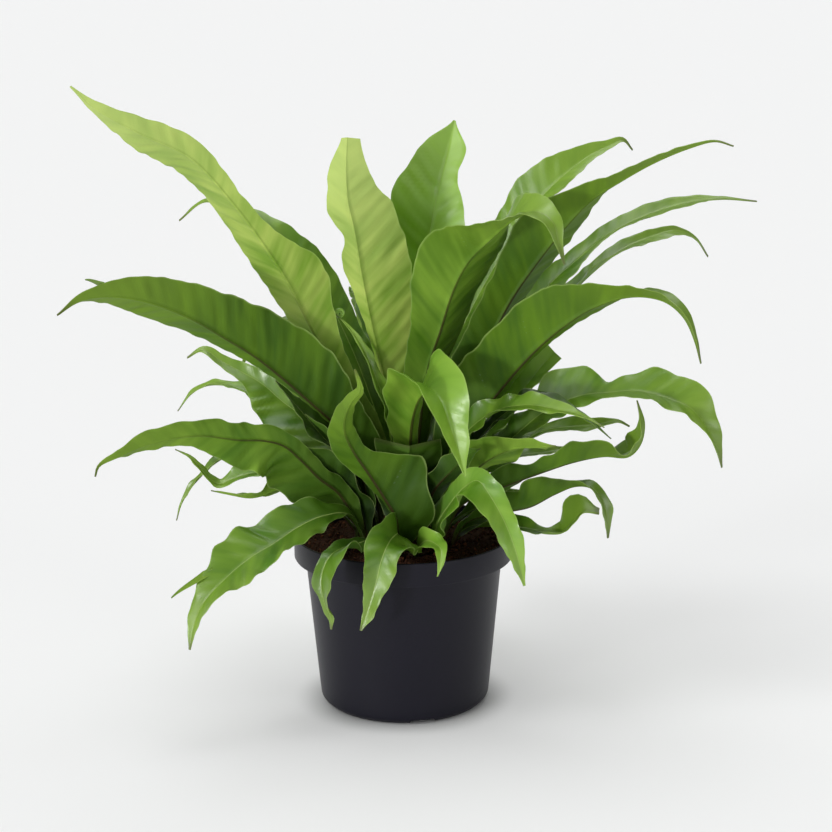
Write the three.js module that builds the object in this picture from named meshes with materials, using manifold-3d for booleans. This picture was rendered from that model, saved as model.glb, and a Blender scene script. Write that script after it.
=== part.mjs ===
// A bird's nest fern in a plastic nursery pot.
// Millimetres, +Z up. The origin is on the pot's axis, in the plane that the pot stands on.
// The front of the plant faces -Y and its right side is +X.

import * as THREE from "three";
import { mergeVertices } from "three/addons/utils/BufferGeometryUtils.js";
import Module from "manifold-3d";

// Driving dimensions of the pot: a 17 cm nursery pot.
const potHeight = 135;
const rimRadius = 85;
const rimHeight = 18.5;
const wallThickness = 1.6;
const wallTopRadius = 76.3;
const wallFootRadius = 66.6;
const wallFootHeight = 12;
const standRadius = 61;
const heelRise = 1.6;
const heelReach = 3;
const heelTop = 5;
const lipRound = 1;
const cornerFillet = 5;
const cornerRise = 1;
const potSides = 40;

// The underside: a middle pad and a foot ring that stand on the ground, with a raised floor between.
const padRadius = 18;
const floorHeight = 4;
const floorThickness = 1.8;
const ringTaper = 1;
const footRingInnerRadius = 54;
const notchCount = 3;
const notchWidth = 20;
const notchLength = 20;
const notchHeight = 3.4;
const notchAzimuth = 283;
const drainCount = 6;
const drainRadius = 5;
const drainRingRadius = 37;
const drainSides = 10;

// Soil and crown.
const gap = 0.3;
const soilLevel = 125.5;
const soilRadius = 82;
const soilRimClearance = 2;
const soilEdgeDrop = 1.4;
const soilEdgeWidth = 5;
const soilFlatRadius = 60;
const crownRadius = 35;
const crownRise = 11.5;
const crownEdge = 126.5;
const crownBottom = 112;
const crownSides = 24;

// Every frond grows out of a plain hole this deep.
const rootDepth = 8;

// A frond is a thin blade with a thicker rib along its middle.
const bladeThickness = 0.7;
const ribThickness = 2.4;
const ribThicknessAtTip = 0.8;
const ribShare = 0.4;
const leastHalfWidth = 0.45;
const petioleHalfWidth = 2;
const usualCup = [25];
const wideBlade = 34;
const lobing = 0.05;
const lobeLead = 1.3;
const leastWaveShare = 0.2;
const wavePower = 1.5;
const footFade = 0.15;
const tipFade = 0.12;
const narrowRows = [-1, 0, 1];
const wideRows = [-1, -ribShare, 0, ribShare, 1];

// Half widths from foot to tip as shares of the widest, for fronds that only give one width.
const lateBelly = [0.1, 0.16, 0.36, 0.7, 1, 1, 0.72, 0.36, 0.03];
const earlyBelly = [0.1, 0.3, 0.7, 1, 0.95, 0.8, 0.55, 0.25, 0.03];

// The waved margin: rise in millimetres, waves along the blade, start of the first wave, and how far
// the right margin runs ahead of the left, the last two as shares of a wave.
const usualWave = [4, 3, 0, 0.5];

// The fronds, each as measured from the plant.
//   foot     distance from the pot's axis and azimuth of the place where it leaves the crown or soil
//   heading  azimuth that it grows towards: 0 is right, 90 back, 180 left, 270 front
//   midrib   points that the rib passes: reach from the axis, height above the ground and, where it
//            leaves the upright plane of its heading, drift to the left
//   left     half widths of the blade's left side, evenly spaced from foot to tip; right is the other
//   roll     turn of the blade about its rib in degrees, evenly spaced from foot to tip
//   steps    stations that the solid is built from
//   cup      angle that both halves rise from the rib at, evenly spaced from foot to tip
const fronds = [
  {
    name: "frond_01_left_high", foot: [12, 192], heading: 195, steps: 20,
    midrib: [[20, 209], [45, 254], [67, 294], [87, 335], [106, 366], [127, 396], [157, 430],
      [195, 450], [224, 468], [241, 484]],
    left: [2, 3, 6, 10, 14, 20, 27, 14, 10, 12, 13, 9, 1],
    right: [2, 4, 10, 16, 20, 22, 24, 26, 28, 30, 27, 17, 1],
    roll: [-15, -45, -55, -55, -50, -40],
  },
  {
    name: "frond_02_left_high", foot: [12, 150], heading: 156, steps: 16,
    midrib: [[15, 198], [34, 256], [52, 294], [70, 324], [89, 346], [111, 366], [141, 380],
      [168, 383], [191, 367]],
    left: [2, 4, 8, 12, 14, 12, 8, 4, 1], right: [2, 6, 16, 15, 18, 15, 10, 4, 1],
    roll: [-5, 20, 20, 15, 40],
  },
  {
    name: "frond_03_front_high", foot: [5, 250], heading: 230, steps: 22,
    midrib: [[6, 185], [12, 244, -5], [22, 299, -11], [31, 341, -13], [39, 373, -12],
      [45, 397, -13], [45, 423, -14], [40, 442, -17]],
    left: [2, 3, 5, 7, 10, 14, 19, 24, 30, 38, 40, 39, 34, 31, 24, 16, 10],
    right: [2, 3, 3, 3, 4, 4, 4, 4, 5, 8, 12, 17, 11, 20, 17, 14, 5],
    roll: [-25, -25, -25, -30, -30], wave: [3, 3, 0, 0.5],
  },
  {
    name: "frond_04_back_high", foot: [6, 75], heading: 85, steps: 20,
    midrib: [[11, 197, -5], [17, 251, -8], [23, 289, -10], [34, 350, -17], [42, 395, -25],
      [48, 425, -32], [51, 447, -37]],
    left: [2, 2, 3, 3, 4, 5, 6, 8, 10, 13, 17, 23, 33, 37, 31, 22, 1],
    right: [2, 2, 3, 3, 4, 5, 6, 8, 10, 12, 15, 20, 29, 22, 12, 14, 1],
    roll: [5, 10, 5, -5, -15], wave: [2, 3, 0, 0.5],
  },
  {
    name: "frond_05_left_high", foot: [19, 212], heading: 205, steps: 20,
    midrib: [[31, 199], [52, 223], [76, 246], [96, 265], [119, 285], [142, 301], [168, 318],
      [198, 332], [227, 339], [249, 338], [266, 329]],
    left: [2, 8, 22, 36, 35, 34, 22, 13, 1], right: [2, 4, 6, 5, 8, 14, 24, 14, 1],
    roll: [-15, -45, -55, -60, -55, -45],
  },
  {
    name: "frond_06_left_middle", foot: [18, 176], heading: 167, steps: 14,
    midrib: [[46, 193], [66, 211], [82, 224], [95, 233], [112, 247], [129, 256], [145, 264],
      [159, 272], [172, 265]],
    left: [2, 4, 9, 26, 36, 26, 10, 6, 1], right: [2, 4, 8, 10, 12, 12, 9, 5, 1],
    roll: [-5, 20, 45, 60, 50, 40],
  },
  {
    name: "frond_07_left_middle", foot: [24, 156], heading: 150, steps: 12,
    midrib: [[48, 190], [94, 216], [130, 225], [146, 230], [165, 233], [185, 230], [200, 221],
      [213, 206]],
    width: 20,
    roll: [-20, -10, 5, 50], wave: [2, 3, 0.1, 0.5],
  },
  {
    name: "frond_08_left_middle", foot: [32, 208], heading: 206, steps: 20,
    midrib: [[53, 171], [71, 187], [85, 202], [99, 215], [115, 221], [135, 224], [165, 231],
      [190, 231], [210, 228], [229, 222], [242, 217], [245, 210]],
    left: [2, 4, 8, 10, 12, 14, 12, 9, 1], right: [2, 12, 26, 30, 25, 14, 10, 8, 1],
    roll: [10, -60, -88, -84, -55, -40], cup: [25, 10, 5, 10, 25],
  },
  {
    name: "frond_09_left_low", foot: [32, 181], heading: 178, steps: 13,
    midrib: [[57, 158], [80, 171], [104, 181], [120, 180], [132, 176], [142, 172], [150, 176],
      [158, 186], [165, 194], [176, 200]],
    width: 16,
    roll: [5, 5, 15, 35, 45], wave: [2, 3, 0.1, 0.5],
  },
  {
    name: "frond_10_left_low", foot: [31, 172], heading: 173, steps: 12,
    midrib: [[46, 161], [88, 183], [120, 195], [137, 192], [150, 184], [160, 174], [170, 162],
      [176, 151], [180, 138]],
    width: 13,
    roll: [10, 10, 30, 40], wave: [1.5, 3, 0.2, 0.5],
  },
  {
    name: "frond_11_left_low", foot: [38, 195], heading: 189, steps: 12,
    midrib: [[38, 150], [62, 160], [81, 170], [96, 173], [110, 169], [119, 168], [133, 171],
      [148, 175]],
    width: 18,
    roll: [20, -15, -30, -10], wave: [3, 3, 0.6, 0.5],
  },
  {
    name: "frond_12_left_low", foot: [39, 226], heading: 216, steps: 18,
    midrib: [[50, 156], [73, 160], [95, 156], [118, 147], [141, 139], [164, 126], [181, 112],
      [189, 96], [193, 80]],
    left: [2, 4, 12, 24, 28, 28, 22, 10, 1], right: [2, 4, 12, 20, 24, 22, 16, 8, 1],
    roll: [50, 35, 30, 30, 25, 25],
  },
  {
    name: "frond_13_front_low", foot: [40, 240], heading: 232, steps: 12,
    midrib: [[56, 142, 10], [71, 143, 10], [89, 145, 12], [105, 143, 14], [113, 134, 14],
      [116, 123, 15], [116, 111, 18], [113, 101, 21], [113, 91, 21]],
    left: [2, 5, 9, 14, 16, 16, 13, 8, 1], right: [2, 3, 4, 7, 8, 6, 6, 4, 1],
    roll: [30, 10, -15, -20],
  },
  {
    name: "frond_14_front_low", foot: [38, 256], heading: 258, steps: 14,
    midrib: [[58, 150, 8], [72, 150, 6], [85, 147, 5], [93, 139, 3], [98, 127, 1], [101, 108, -4],
      [104, 89, -10]],
    left: [2, 10, 20, 22, 12, 15, 8, 7, 1], right: [2, 6, 12, 17, 18, 12, 9, 4, 1],
    roll: [40, 35, 10, 10], wave: [5, 3, 0, 0.5],
  },
  {
    name: "frond_15_front_low", foot: [38, 284], heading: 283, steps: 10,
    midrib: [[62, 145, 3], [80, 148, 6], [90, 146, 8], [96, 139, 6], [99, 129, 3]],
    width: 20, belly: "early",
    roll: [-60, -80, -40, 5], wave: [3, 1.5, 0.1, 0.55],
  },
  {
    name: "frond_16_front_low", foot: [38, 312], heading: 308, steps: 16,
    midrib: [[50, 152, -6], [66, 174, -5], [84, 190, -6], [98, 197, -6], [112, 188, -6],
      [124, 171, -3], [132, 150, 1], [136, 124, 6]],
    left: [2, 6, 10, 10, 10, 11, 9, 6, 1], right: [2, 10, 24, 26, 22, 18, 14, 8, 1],
    roll: [-40, -70, -60, -20, -15, -20],
  },
  {
    name: "frond_17_front_middle", foot: [19, 286], heading: 290, steps: 16,
    midrib: [[30, 208, -5], [42, 235, -7], [60, 256, -7], [78, 264, -5], [92, 258, -3],
      [102, 241], [110, 225, 3], [116, 208, 6]],
    left: [2, 5, 8, 14, 24, 33, 24, 12, 1], right: [2, 5, 8, 14, 24, 33, 22, 11, 1],
    roll: [0, -5, -10, -15, -10], cup: [25, 30, 45, 45, 30], wave: [2, 2.5, 0, 0.5],
  },
  {
    name: "frond_18_right_high", foot: [12, 312], heading: 318, steps: 20,
    midrib: [[15, 202], [25, 264], [39, 299], [52, 331], [66, 353], [87, 372], [110, 389],
      [129, 396], [144, 390], [149, 377], [155, 361]],
    left: [2, 6, 14, 22, 30, 38, 30, 12, 1], right: [2, 5, 10, 18, 27, 34, 30, 16, 1],
    roll: [40, 30, 20, 25, 15, -20, -10],
  },
  {
    name: "frond_19_right_high", foot: [12, 346], heading: 342, steps: 20,
    midrib: [[30, 202], [46, 242], [66, 282], [85, 320], [106, 351], [127, 378], [146, 398],
      [168, 413], [192, 427], [217, 438], [235, 443], [248, 440]],
    left: [2, 6, 14, 20, 20, 20, 15, 9, 1], right: [2, 6, 14, 20, 24, 28, 14, 8, 1],
    roll: [25, 40, 45, 45, 20, 0],
  },
  {
    name: "frond_20_right_high", foot: [12, 28], heading: 25, steps: 16,
    midrib: [[23, 229], [45, 278], [68, 319], [94, 356], [118, 385], [141, 404], [162, 417],
      [178, 423], [191, 427], [200, 419]],
    left: [2, 4, 8, 15, 20, 24, 24, 11, 1], right: [2, 4, 8, 14, 22, 26, 22, 8, 1],
    roll: [-15, -20, -20, -15, -50],
  },
  {
    name: "frond_21_right_high", foot: [18, 4], heading: 14, steps: 18,
    midrib: [[34, 201], [60, 245], [90, 289], [117, 322], [141, 342], [162, 358], [190, 371],
      [222, 380], [255, 383], [286, 380]],
    left: [2, 3, 6, 10, 11, 12, 10, 6, 1], right: [2, 4, 8, 16, 23, 25, 20, 11, 1],
    roll: [5, -10, -20, -15, -15],
  },
  {
    name: "frond_22_right_high", foot: [18, 28], heading: 27, steps: 16,
    midrib: [[37, 187], [72, 227], [112, 271], [144, 304], [174, 327], [196, 339], [221, 347],
      [247, 351], [266, 343], [279, 327]],
    left: [2, 3, 6, 10, 13, 12, 8, 4, 1], right: [2, 4, 8, 15, 21, 21, 13, 9, 1],
    roll: [10, 0, 0, -55],
  },
  {
    name: "frond_23_right_high", foot: [19, 330], heading: 330, steps: 20,
    midrib: [[40, 193], [57, 221], [84, 256], [110, 286], [133, 307], [157, 324], [180, 334],
      [200, 337], [217, 334], [230, 324], [238, 309], [243, 293]],
    left: [2, 4, 6, 6, 6, 10, 18, 10, 1], right: [2, 10, 24, 36, 36, 30, 16, 13, 1],
    roll: [10, 40, 50, 50, 35, 15, 5],
  },
  {
    name: "frond_24_right_middle", foot: [25, 350], heading: 346, steps: 21,
    midrib: [[53, 187], [84, 212], [111, 236], [137, 249], [160, 253], [182, 255], [205, 250],
      [221, 243], [233, 228], [240, 213], [244, 200]],
    left: [2, 3, 4, 6, 8, 12, 14, 10, 24, 24, 11, 18, 21, 18, 14, 8, 1],
    right: [2, 3, 4, 6, 9, 13, 17, 19, 20, 20, 20, 21, 21, 18, 12, 7, 1],
    roll: [-40, -40, -40, -30, -25, -20],
  },
  {
    name: "frond_25_right_middle", foot: [25, 322], heading: 322, steps: 12,
    midrib: [[36, 174], [50, 208], [69, 230], [92, 245], [119, 252], [145, 252], [167, 250],
      [183, 245]],
    width: 24,
    roll: [-45, -55, -35, -15], wave: [3, 3, 0.1, 0.5],
  },
  {
    name: "frond_26_right_middle", foot: [32, 338], heading: 335, steps: 18,
    midrib: [[48, 161], [81, 179], [113, 194], [140, 205, 3], [162, 211, 5], [180, 212, 7],
      [188, 221, 10], [191, 237, 10], [188, 256, 2]],
    left: [2, 6, 10, 13, 15, 15, 18, 20, 19, 9, 1],
    right: [2, 5, 10, 14, 16, 15, 16, 20, 22, 11, 1],
    roll: [-25, 30, 35, 30, 0, -20],
  },
  {
    name: "frond_27_right_middle", foot: [31, 10], heading: 0, steps: 12,
    midrib: [[36, 163], [63, 187], [90, 205], [113, 215], [132, 217], [151, 219], [165, 221],
      [174, 217]],
    left: [2, 3, 7, 12, 14, 10, 8, 5, 1], right: [2, 3, 8, 15, 17, 15, 11, 6, 1],
    roll: [-30, -20, -20, -25],
  },
  {
    name: "frond_28_right_middle", foot: [30, 318], heading: 318, steps: 12,
    midrib: [[38, 157], [53, 176], [73, 197], [92, 211], [111, 220], [130, 224], [149, 228]],
    left: [2, 6, 16, 22, 24, 24, 18, 12, 1], right: [2, 6, 14, 20, 22, 18, 14, 8, 1],
    roll: [-20, 20, 35, 30], wave: [5, 3, 0.2, 0.5],
  },
  {
    name: "frond_29_right_low", foot: [24, 36], heading: 20, steps: 10,
    midrib: [[43, 163], [68, 177], [95, 185], [119, 186], [145, 189]],
    width: 22,
    roll: [-10, -10, -15, -15], wave: [3, 2.5, 0.3, 0.5],
  },
  {
    name: "frond_30_right_low", foot: [38, 350], heading: 348, steps: 14,
    midrib: [[49, 145], [76, 154], [99, 160], [118, 171], [134, 178], [146, 177], [154, 168],
      [158, 154], [159, 138]],
    left: [2, 5, 9, 14, 16, 14, 9, 7, 6, 5, 1], right: [2, 5, 9, 12, 20, 28, 24, 12, 8, 6, 1],
    roll: [-10, 35, 35, -10, -40],
  },
  {
    name: "frond_31_right_low", foot: [40, 2], heading: 355, steps: 14,
    midrib: [[52, 139], [90, 139], [112, 135], [123, 136], [130, 143], [139, 152], [151, 151]],
    left: [2, 8, 14, 14, 8, 7, 13, 15, 8], right: [2, 8, 12, 14, 12, 7, 6, 8, 4],
    roll: [-30, 5, 5, -5, 20], wave: [4, 2.5, 0.3, 0.5],
  },
  {
    name: "frond_32_right_low", foot: [32, 20], heading: 14, steps: 8,
    midrib: [[49, 144], [74, 152], [93, 157], [107, 160]],
    width: 24,
    roll: [-15, -15, -15], wave: [3, 2, 0.3, 0.5],
  },
  {
    name: "frond_33_right_middle", foot: [24, 18], heading: 12, steps: 12,
    midrib: [[41, 180], [69, 210], [89, 233], [103, 251], [113, 263], [121, 270]],
    left: [2, 3, 4, 5, 8, 13, 16, 12], right: [2, 3, 4, 5, 8, 15, 12, 11],
    roll: [-15, -20, -30, -40], wave: [4, 2.5, 0.1, 0.5],
  },
  {
    name: "frond_34_left_middle", foot: [10, 215], heading: 190, steps: 12,
    midrib: [[4, 187, 11], [12, 228, 15], [20, 253, 16], [33, 286, 11], [44, 302, 6], [51, 309, 3]],
    width: 14,
    roll: [40, 45, 50, 60], wave: [1, 2, 0.2, 0.5],
  },
  {
    name: "frond_35_front_middle", foot: [36, 262], heading: 236, steps: 16,
    midrib: [[46, 161, 25], [54, 178, 20], [66, 199, 14], [78, 218, 9], [88, 234, 9], [94, 248, 14],
      [98, 261, 23], [100, 271, 32], [98, 285, 26]],
    left: [2, 14, 30, 36, 33, 14, 9, 7, 5, 3, 1], right: [2, 3, 5, 6, 9, 14, 17, 12, 7, 4, 1],
    roll: [-5, -15, -30, -40, -20, 0], wave: [3, 3, 0.3, 0.5],
  },
  {
    name: "frond_36_front_middle", foot: [26, 272], heading: 275, steps: 9,
    midrib: [[32, 160, -4], [40, 181, -2], [46, 201], [50, 216, 1]],
    left: [2, 12, 22, 28, 30, 27], right: [2, 10, 20, 27, 30, 27],
    roll: [0], wave: [3, 2.5, 0.1, 0.6],
  },
  {
    name: "frond_37_left_middle", foot: [25, 194], heading: 190, steps: 12,
    midrib: [[41, 188], [62, 213], [79, 235], [89, 248], [97, 259]],
    width: 36,
    roll: [20, 30, 35, 40], wave: [4, 2.5, 0.2, 0.5],
  },
  {
    name: "frond_38_left_middle", foot: [32, 220], heading: 202, steps: 12,
    midrib: [[40, 167], [68, 196], [96, 220]],
    left: [2, 6, 11, 15, 17, 16, 12, 6, 1], right: [2, 6, 11, 15, 17, 16, 12, 6, 1],
    roll: [10, -10, -15], wave: [4, 2, 0.1, 0.5],
  },
  {
    name: "frond_39_left_middle", foot: [26, 208], heading: 211, steps: 10,
    midrib: [[36, 185], [59, 214], [84, 239]],
    left: [2, 7, 12, 14, 12, 7, 1], right: [2, 7, 12, 14, 12, 7, 1],
    roll: [30, 5, 0], wave: [3, 2, 0.4, 0.5],
  },
  {
    name: "frond_40_front_middle", foot: [28, 300], heading: 306, steps: 9,
    midrib: [[50, 178, -9], [72, 201, -6], [92, 217, -6], [106, 224, -7]],
    width: 24,
    roll: [35, 35, 40, 45], wave: [4, 2, 0.4, 0.5],
  },
  {
    name: "frond_41_right_middle", foot: [24, 339], heading: 337, steps: 12,
    midrib: [[42, 182], [66, 218], [90, 240], [115, 249, -2], [135, 245, -4],
      [152, 238, -6], [169, 226, -6]],
    width: 19,
    roll: [-40, -40, -35, -15], wave: [2, 2, 0.1, 0.5],
  },
  {
    name: "frond_42_back_middle", foot: [18, 54], heading: 54, steps: 9,
    midrib: [[30, 170], [60, 208], [98, 234], [140, 242], [178, 238], [205, 226]],
    width: 48,
    roll: [0, 8, -8],
  },
  {
    name: "frond_43_back_middle", foot: [12, 57], heading: 57, steps: 9,
    midrib: [[22, 190], [50, 250], [85, 288], [125, 300], [165, 285], [195, 250]],
    width: 50,
    roll: [0, -8, 10],
  },
  {
    name: "frond_44_back_middle", foot: [18, 98], heading: 98, steps: 9,
    midrib: [[25, 180], [50, 235], [85, 278], [130, 295], [175, 282], [210, 248], [230, 202]],
    width: 52,
    roll: [0, 6, -12],
  },
  {
    name: "frond_45_back_middle", foot: [14, 112], heading: 130, steps: 9,
    midrib: [[24, 180], [55, 235], [95, 270], [140, 280], [185, 260], [215, 225]],
    width: 48,
    roll: [0, -6, 12],
  },
  {
    name: "frond_46_back_middle", foot: [18, 122], heading: 122, steps: 9,
    midrib: [[30, 170], [65, 215], [110, 240], [155, 242], [190, 226], [212, 200]],
    width: 46,
    roll: [0, 10, -6],
  },
  {
    name: "frond_47_back_low", foot: [32, 104], heading: 104, steps: 9,
    midrib: [[45, 150], [80, 180], [125, 190], [170, 170], [200, 135], [215, 95]],
    width: 42,
    roll: [0, 8, 20],
  },
  {
    name: "frond_48_back_low", foot: [32, 80], heading: 80, steps: 9,
    midrib: [[45, 150], [85, 178], [130, 180], [170, 155], [195, 115]],
    width: 38,
    roll: [0, -10, 8],
  },
  {
    name: "frond_49_back_low", foot: [32, 50], heading: 50, steps: 9,
    midrib: [[45, 150], [80, 172], [118, 184], [148, 184], [168, 174]],
    width: 36,
    roll: [0, 8, -14],
  },
  {
    name: "frond_50_back_low", foot: [32, 132], heading: 132, steps: 9,
    midrib: [[45, 148], [78, 168], [108, 180], [138, 180], [160, 170]],
    width: 36,
    roll: [0, -8, 16],
  },
];

// Materials.
const frondMaterial = new THREE.MeshStandardMaterial({ color: 0x4f8a2a, roughness: 0.4, metalness: 0 });
const crownMaterial = new THREE.MeshStandardMaterial({ color: 0x3a2616, roughness: 0.95, metalness: 0 });
const soilMaterial = new THREE.MeshStandardMaterial({ color: 0x2c1a12, roughness: 1, metalness: 0 });
const potMaterial = new THREE.MeshStandardMaterial({ color: 0x26252a, roughness: 0.45, metalness: 0 });

const wasm = await Module();
wasm.setup();

// Solid from a three.js geometry: only the positions count, and shared vertices are merged.
function solidFrom(geometry) {
  const bare = new THREE.BufferGeometry();
  bare.setAttribute("position", geometry.getAttribute("position"));
  bare.setIndex(geometry.getIndex());
  const merged = mergeVertices(bare, 1e-4);
  const mesh = new wasm.Mesh({
    numProp: 3,
    vertProperties: new Float32Array(merged.getAttribute("position").array),
    triVerts: new Uint32Array(merged.getIndex().array),
  });
  return new wasm.Manifold(mesh);
}

function geometryFrom(solid) {
  const mesh = solid.getMesh();
  const geometry = new THREE.BufferGeometry();
  geometry.setAttribute("position", new THREE.BufferAttribute(new Float32Array(mesh.vertProperties), 3));
  geometry.setIndex(new THREE.BufferAttribute(new Uint32Array(mesh.triVerts), 1));
  geometry.computeVertexNormals();
  return geometry;
}

// Lathe about +Z from [radius, height] pairs that start and end on the axis.
function turned(profile, sides) {
  const points = profile.map(([radius, height]) => new THREE.Vector2(radius, height));
  const geometry = new THREE.LatheGeometry(points, sides);
  geometry.rotateX(Math.PI / 2);
  return solidFrom(geometry);
}

// Point at a radius, an azimuth in degrees and a height.
function polar(radius, azimuth, height) {
  const angle = THREE.MathUtils.degToRad(azimuth);
  return new THREE.Vector3(radius * Math.cos(angle), radius * Math.sin(angle), height);
}

// Smooth value along a frond from a few that are evenly spaced from foot (0) to tip (1).
function valueAlong(values, along) {
  if (values.length === 1) {
    return values[0];
  }
  const curve = new THREE.SplineCurve(values.map((value, index) => new THREE.Vector2(index, value)));
  return curve.getPoint(along).y;
}

// Height of the ground that a frond grows out of: the crown's dome, or the soil round it.
function groundHeight(radius) {
  if (radius > crownRadius) {
    return soilLevel;
  }
  return crownEdge + crownRise * (1 - (radius / crownRadius) ** 2);
}

// Points of the midrib, from the bottom of the root to the tip, and how far along the blade each is.
function midribStations(frond) {
  const out = polar(1, frond.heading, 0);
  const drift = polar(1, frond.heading + 90, 0);
  const [footRadius, footAzimuth] = frond.foot;
  const exit = polar(footRadius, footAzimuth, groundHeight(footRadius));
  const points = [exit.clone().setZ(exit.z - rootDepth), exit];
  for (const [reach, height, aside = 0] of frond.midrib) {
    const point = new THREE.Vector3(0, 0, height);
    points.push(point.addScaledVector(out, reach).addScaledVector(drift, aside));
  }
  const samplesPerSpan = 40;
  const curve = new THREE.CatmullRomCurve3(points);
  curve.arcLengthDivisions = samplesPerSpan * (points.length - 1);
  const lengths = curve.getLengths();
  const exitShare = lengths[samplesPerSpan] / lengths.at(-1);
  const stations = [{ centre: points[0], along: 0 }];
  for (let step = 0; step < frond.steps; step += 1) {
    const along = step / (frond.steps - 1);
    const centre = curve.getPointAt(exitShare + (1 - exitShare) * along);
    stations.push({ centre, along });
  }
  return stations;
}

// Tangent, side and up directions at each station, carried along the rib without twisting.
function addFrames(stations, heading) {
  const last = stations.length - 1;
  stations.forEach((station, index) => {
    const before = stations[Math.max(index - 1, 0)].centre;
    const after = stations[Math.min(index + 1, last)].centre;
    station.tangent = new THREE.Vector3().subVectors(after, before).normalize();
  });
  const start = stations[0];
  start.side = polar(1, heading, 0).cross(new THREE.Vector3(0, 0, 1));
  start.side.addScaledVector(start.tangent, -start.side.dot(start.tangent)).normalize();
  for (let index = 1; index <= last; index += 1) {
    const previous = stations[index - 1];
    const station = stations[index];
    const step = new THREE.Vector3().subVectors(station.centre, previous.centre).normalize();
    const side = previous.side.clone().reflect(step);
    const tangent = previous.tangent.clone().reflect(step);
    const turn = new THREE.Vector3().subVectors(station.tangent, tangent);
    if (turn.length() > 1e-6) {
      side.reflect(turn.normalize());
    }
    side.addScaledVector(station.tangent, -side.dot(station.tangent));
    station.side = side.normalize();
  }
  for (const station of stations) {
    station.up = new THREE.Vector3().crossVectors(station.side, station.tangent);
  }
}

function halfWidths(frond, along) {
  let left = frond.left;
  let right = frond.right;
  if (frond.width) {
    const shares = frond.belly === "early" ? earlyBelly : lateBelly;
    left = shares.map((share) => share * frond.width / 2);
    left[0] = Math.max(left[0], petioleHalfWidth);
    right = left;
  }
  return {
    left: Math.max(valueAlong(left, along), leastHalfWidth),
    right: Math.max(valueAlong(right, along), leastHalfWidth),
  };
}

// Middle surface of a blade: a row of points across it at each station.
function bladeRows(frond, wantedRows) {
  const stations = midribStations(frond);
  addFrames(stations, frond.heading);
  const widths = stations.map(({ along }) => halfWidths(frond, along));
  const widest = Math.max(...widths.flatMap(({ left, right }) => [left, right]));
  const full = frond.width ?? Math.max(...frond.left) + Math.max(...frond.right);
  const rows = wantedRows ?? (full >= wideBlade ? wideRows : narrowRows);
  const [waveRise, waveCount, waveStart, waveShift] = frond.wave ?? usualWave;
  return stations.map(({ centre, side, up, along }, index) => {
    const roll = THREE.MathUtils.degToRad(valueAlong(frond.roll, along));
    const across = side.clone().multiplyScalar(Math.cos(roll)).addScaledVector(up, Math.sin(roll));
    const above = up.clone().multiplyScalar(Math.cos(roll)).addScaledVector(side, -Math.sin(roll));
    const cup = THREE.MathUtils.degToRad(valueAlong(frond.cup ?? usualCup, along));
    const footPart = THREE.MathUtils.smoothstep(along, 0, footFade);
    const fade = footPart * THREE.MathUtils.smoothstep(1 - along, 0, tipFade);
    const ribHere = ribThickness + (ribThicknessAtTip - ribThickness) * along;
    return rows.map((row) => {
      const phase = 2 * Math.PI * (waveCount * along + waveStart + waveShift * Math.sign(row) / 2);
      const half = row < 0 ? widths[index].left : widths[index].right;
      const room = THREE.MathUtils.clamp(half / widest, leastWaveShare, 1);
      const wave = waveRise * fade * Math.abs(row) ** wavePower * Math.sin(phase) * room;
      const reach = half * (1 + lobing * fade * Math.sin(phase + lobeLead)) * row;
      const lift = Math.abs(reach) * Math.sin(cup) + wave;
      const point = centre.clone().addScaledVector(across, reach * Math.cos(cup));
      point.addScaledVector(above, lift);
      const ribPart = THREE.MathUtils.clamp(1 - Math.abs(row) / ribShare, 0, 1);
      const thickness = bladeThickness + (ribHere - bladeThickness) * ribPart;
      return { point, thickness };
    });
  });
}

// Direction that the blade's upper face looks in at one point of it.
function facing(rows, index, place) {
  const lastRow = rows.length - 1;
  const lastPlace = rows[0].length - 1;
  const acrossStep = new THREE.Vector3().subVectors(
    rows[index][Math.min(place + 1, lastPlace)].point,
    rows[index][Math.max(place - 1, 0)].point,
  );
  const alongStep = new THREE.Vector3().subVectors(
    rows[Math.min(index + 1, lastRow)][place].point,
    rows[Math.max(index - 1, 0)][place].point,
  );
  return acrossStep.cross(alongStep).normalize();
}

// Closed solid from rows of points, both faces split into triangles alike. Clearance swells it on
// every side, and only the stations up to the last one given are used.
function bladeGeometry(rows, clearance = 0, lastStation = rows.length - 1) {
  const count = rows[0].length;
  const upper = [];
  const lower = [];
  for (let index = 0; index <= lastStation; index += 1) {
    for (let place = 0; place < count; place += 1) {
      const { point, thickness } = rows[index][place];
      const normal = facing(rows, index, place);
      const outward = new THREE.Vector3();
      if (place === 0 || place === count - 1) {
        outward.subVectors(point, rows[index][(count - 1) / 2].point).setLength(clearance);
      }
      if (index === 0) {
        outward.z -= clearance;
      }
      const rise = bladeThickness / 2 + clearance;
      const drop = thickness - bladeThickness / 2 + clearance;
      upper.push(point.clone().add(outward).addScaledVector(normal, rise));
      lower.push(point.clone().add(outward).addScaledVector(normal, -drop));
    }
  }
  const corners = [...upper, ...lower];
  const under = upper.length;
  const triangles = [];
  const quad = (a, b, c, d) => triangles.push(a, b, c, a, c, d);
  for (let index = 0; index < lastStation; index += 1) {
    for (let place = 0; place < count - 1; place += 1) {
      const a = index * count + place;
      const b = a + 1;
      const c = b + count;
      const d = a + count;
      quad(a, b, c, d);
      triangles.push(under + a, under + c, under + b, under + a, under + d, under + c);
    }
    const left = index * count;
    const right = left + count - 1;
    quad(left, left + count, under + left + count, under + left);
    quad(right + count, right, under + right, under + right + count);
  }
  for (let place = 0; place < count - 1; place += 1) {
    const far = lastStation * count + place;
    quad(place, under + place, under + place + 1, place + 1);
    quad(far + 1, under + far + 1, under + far, far);
  }
  const geometry = new THREE.BufferGeometry().setFromPoints(corners);
  geometry.setIndex(triangles);
  geometry.computeVertexNormals();
  return geometry;
}

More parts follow.
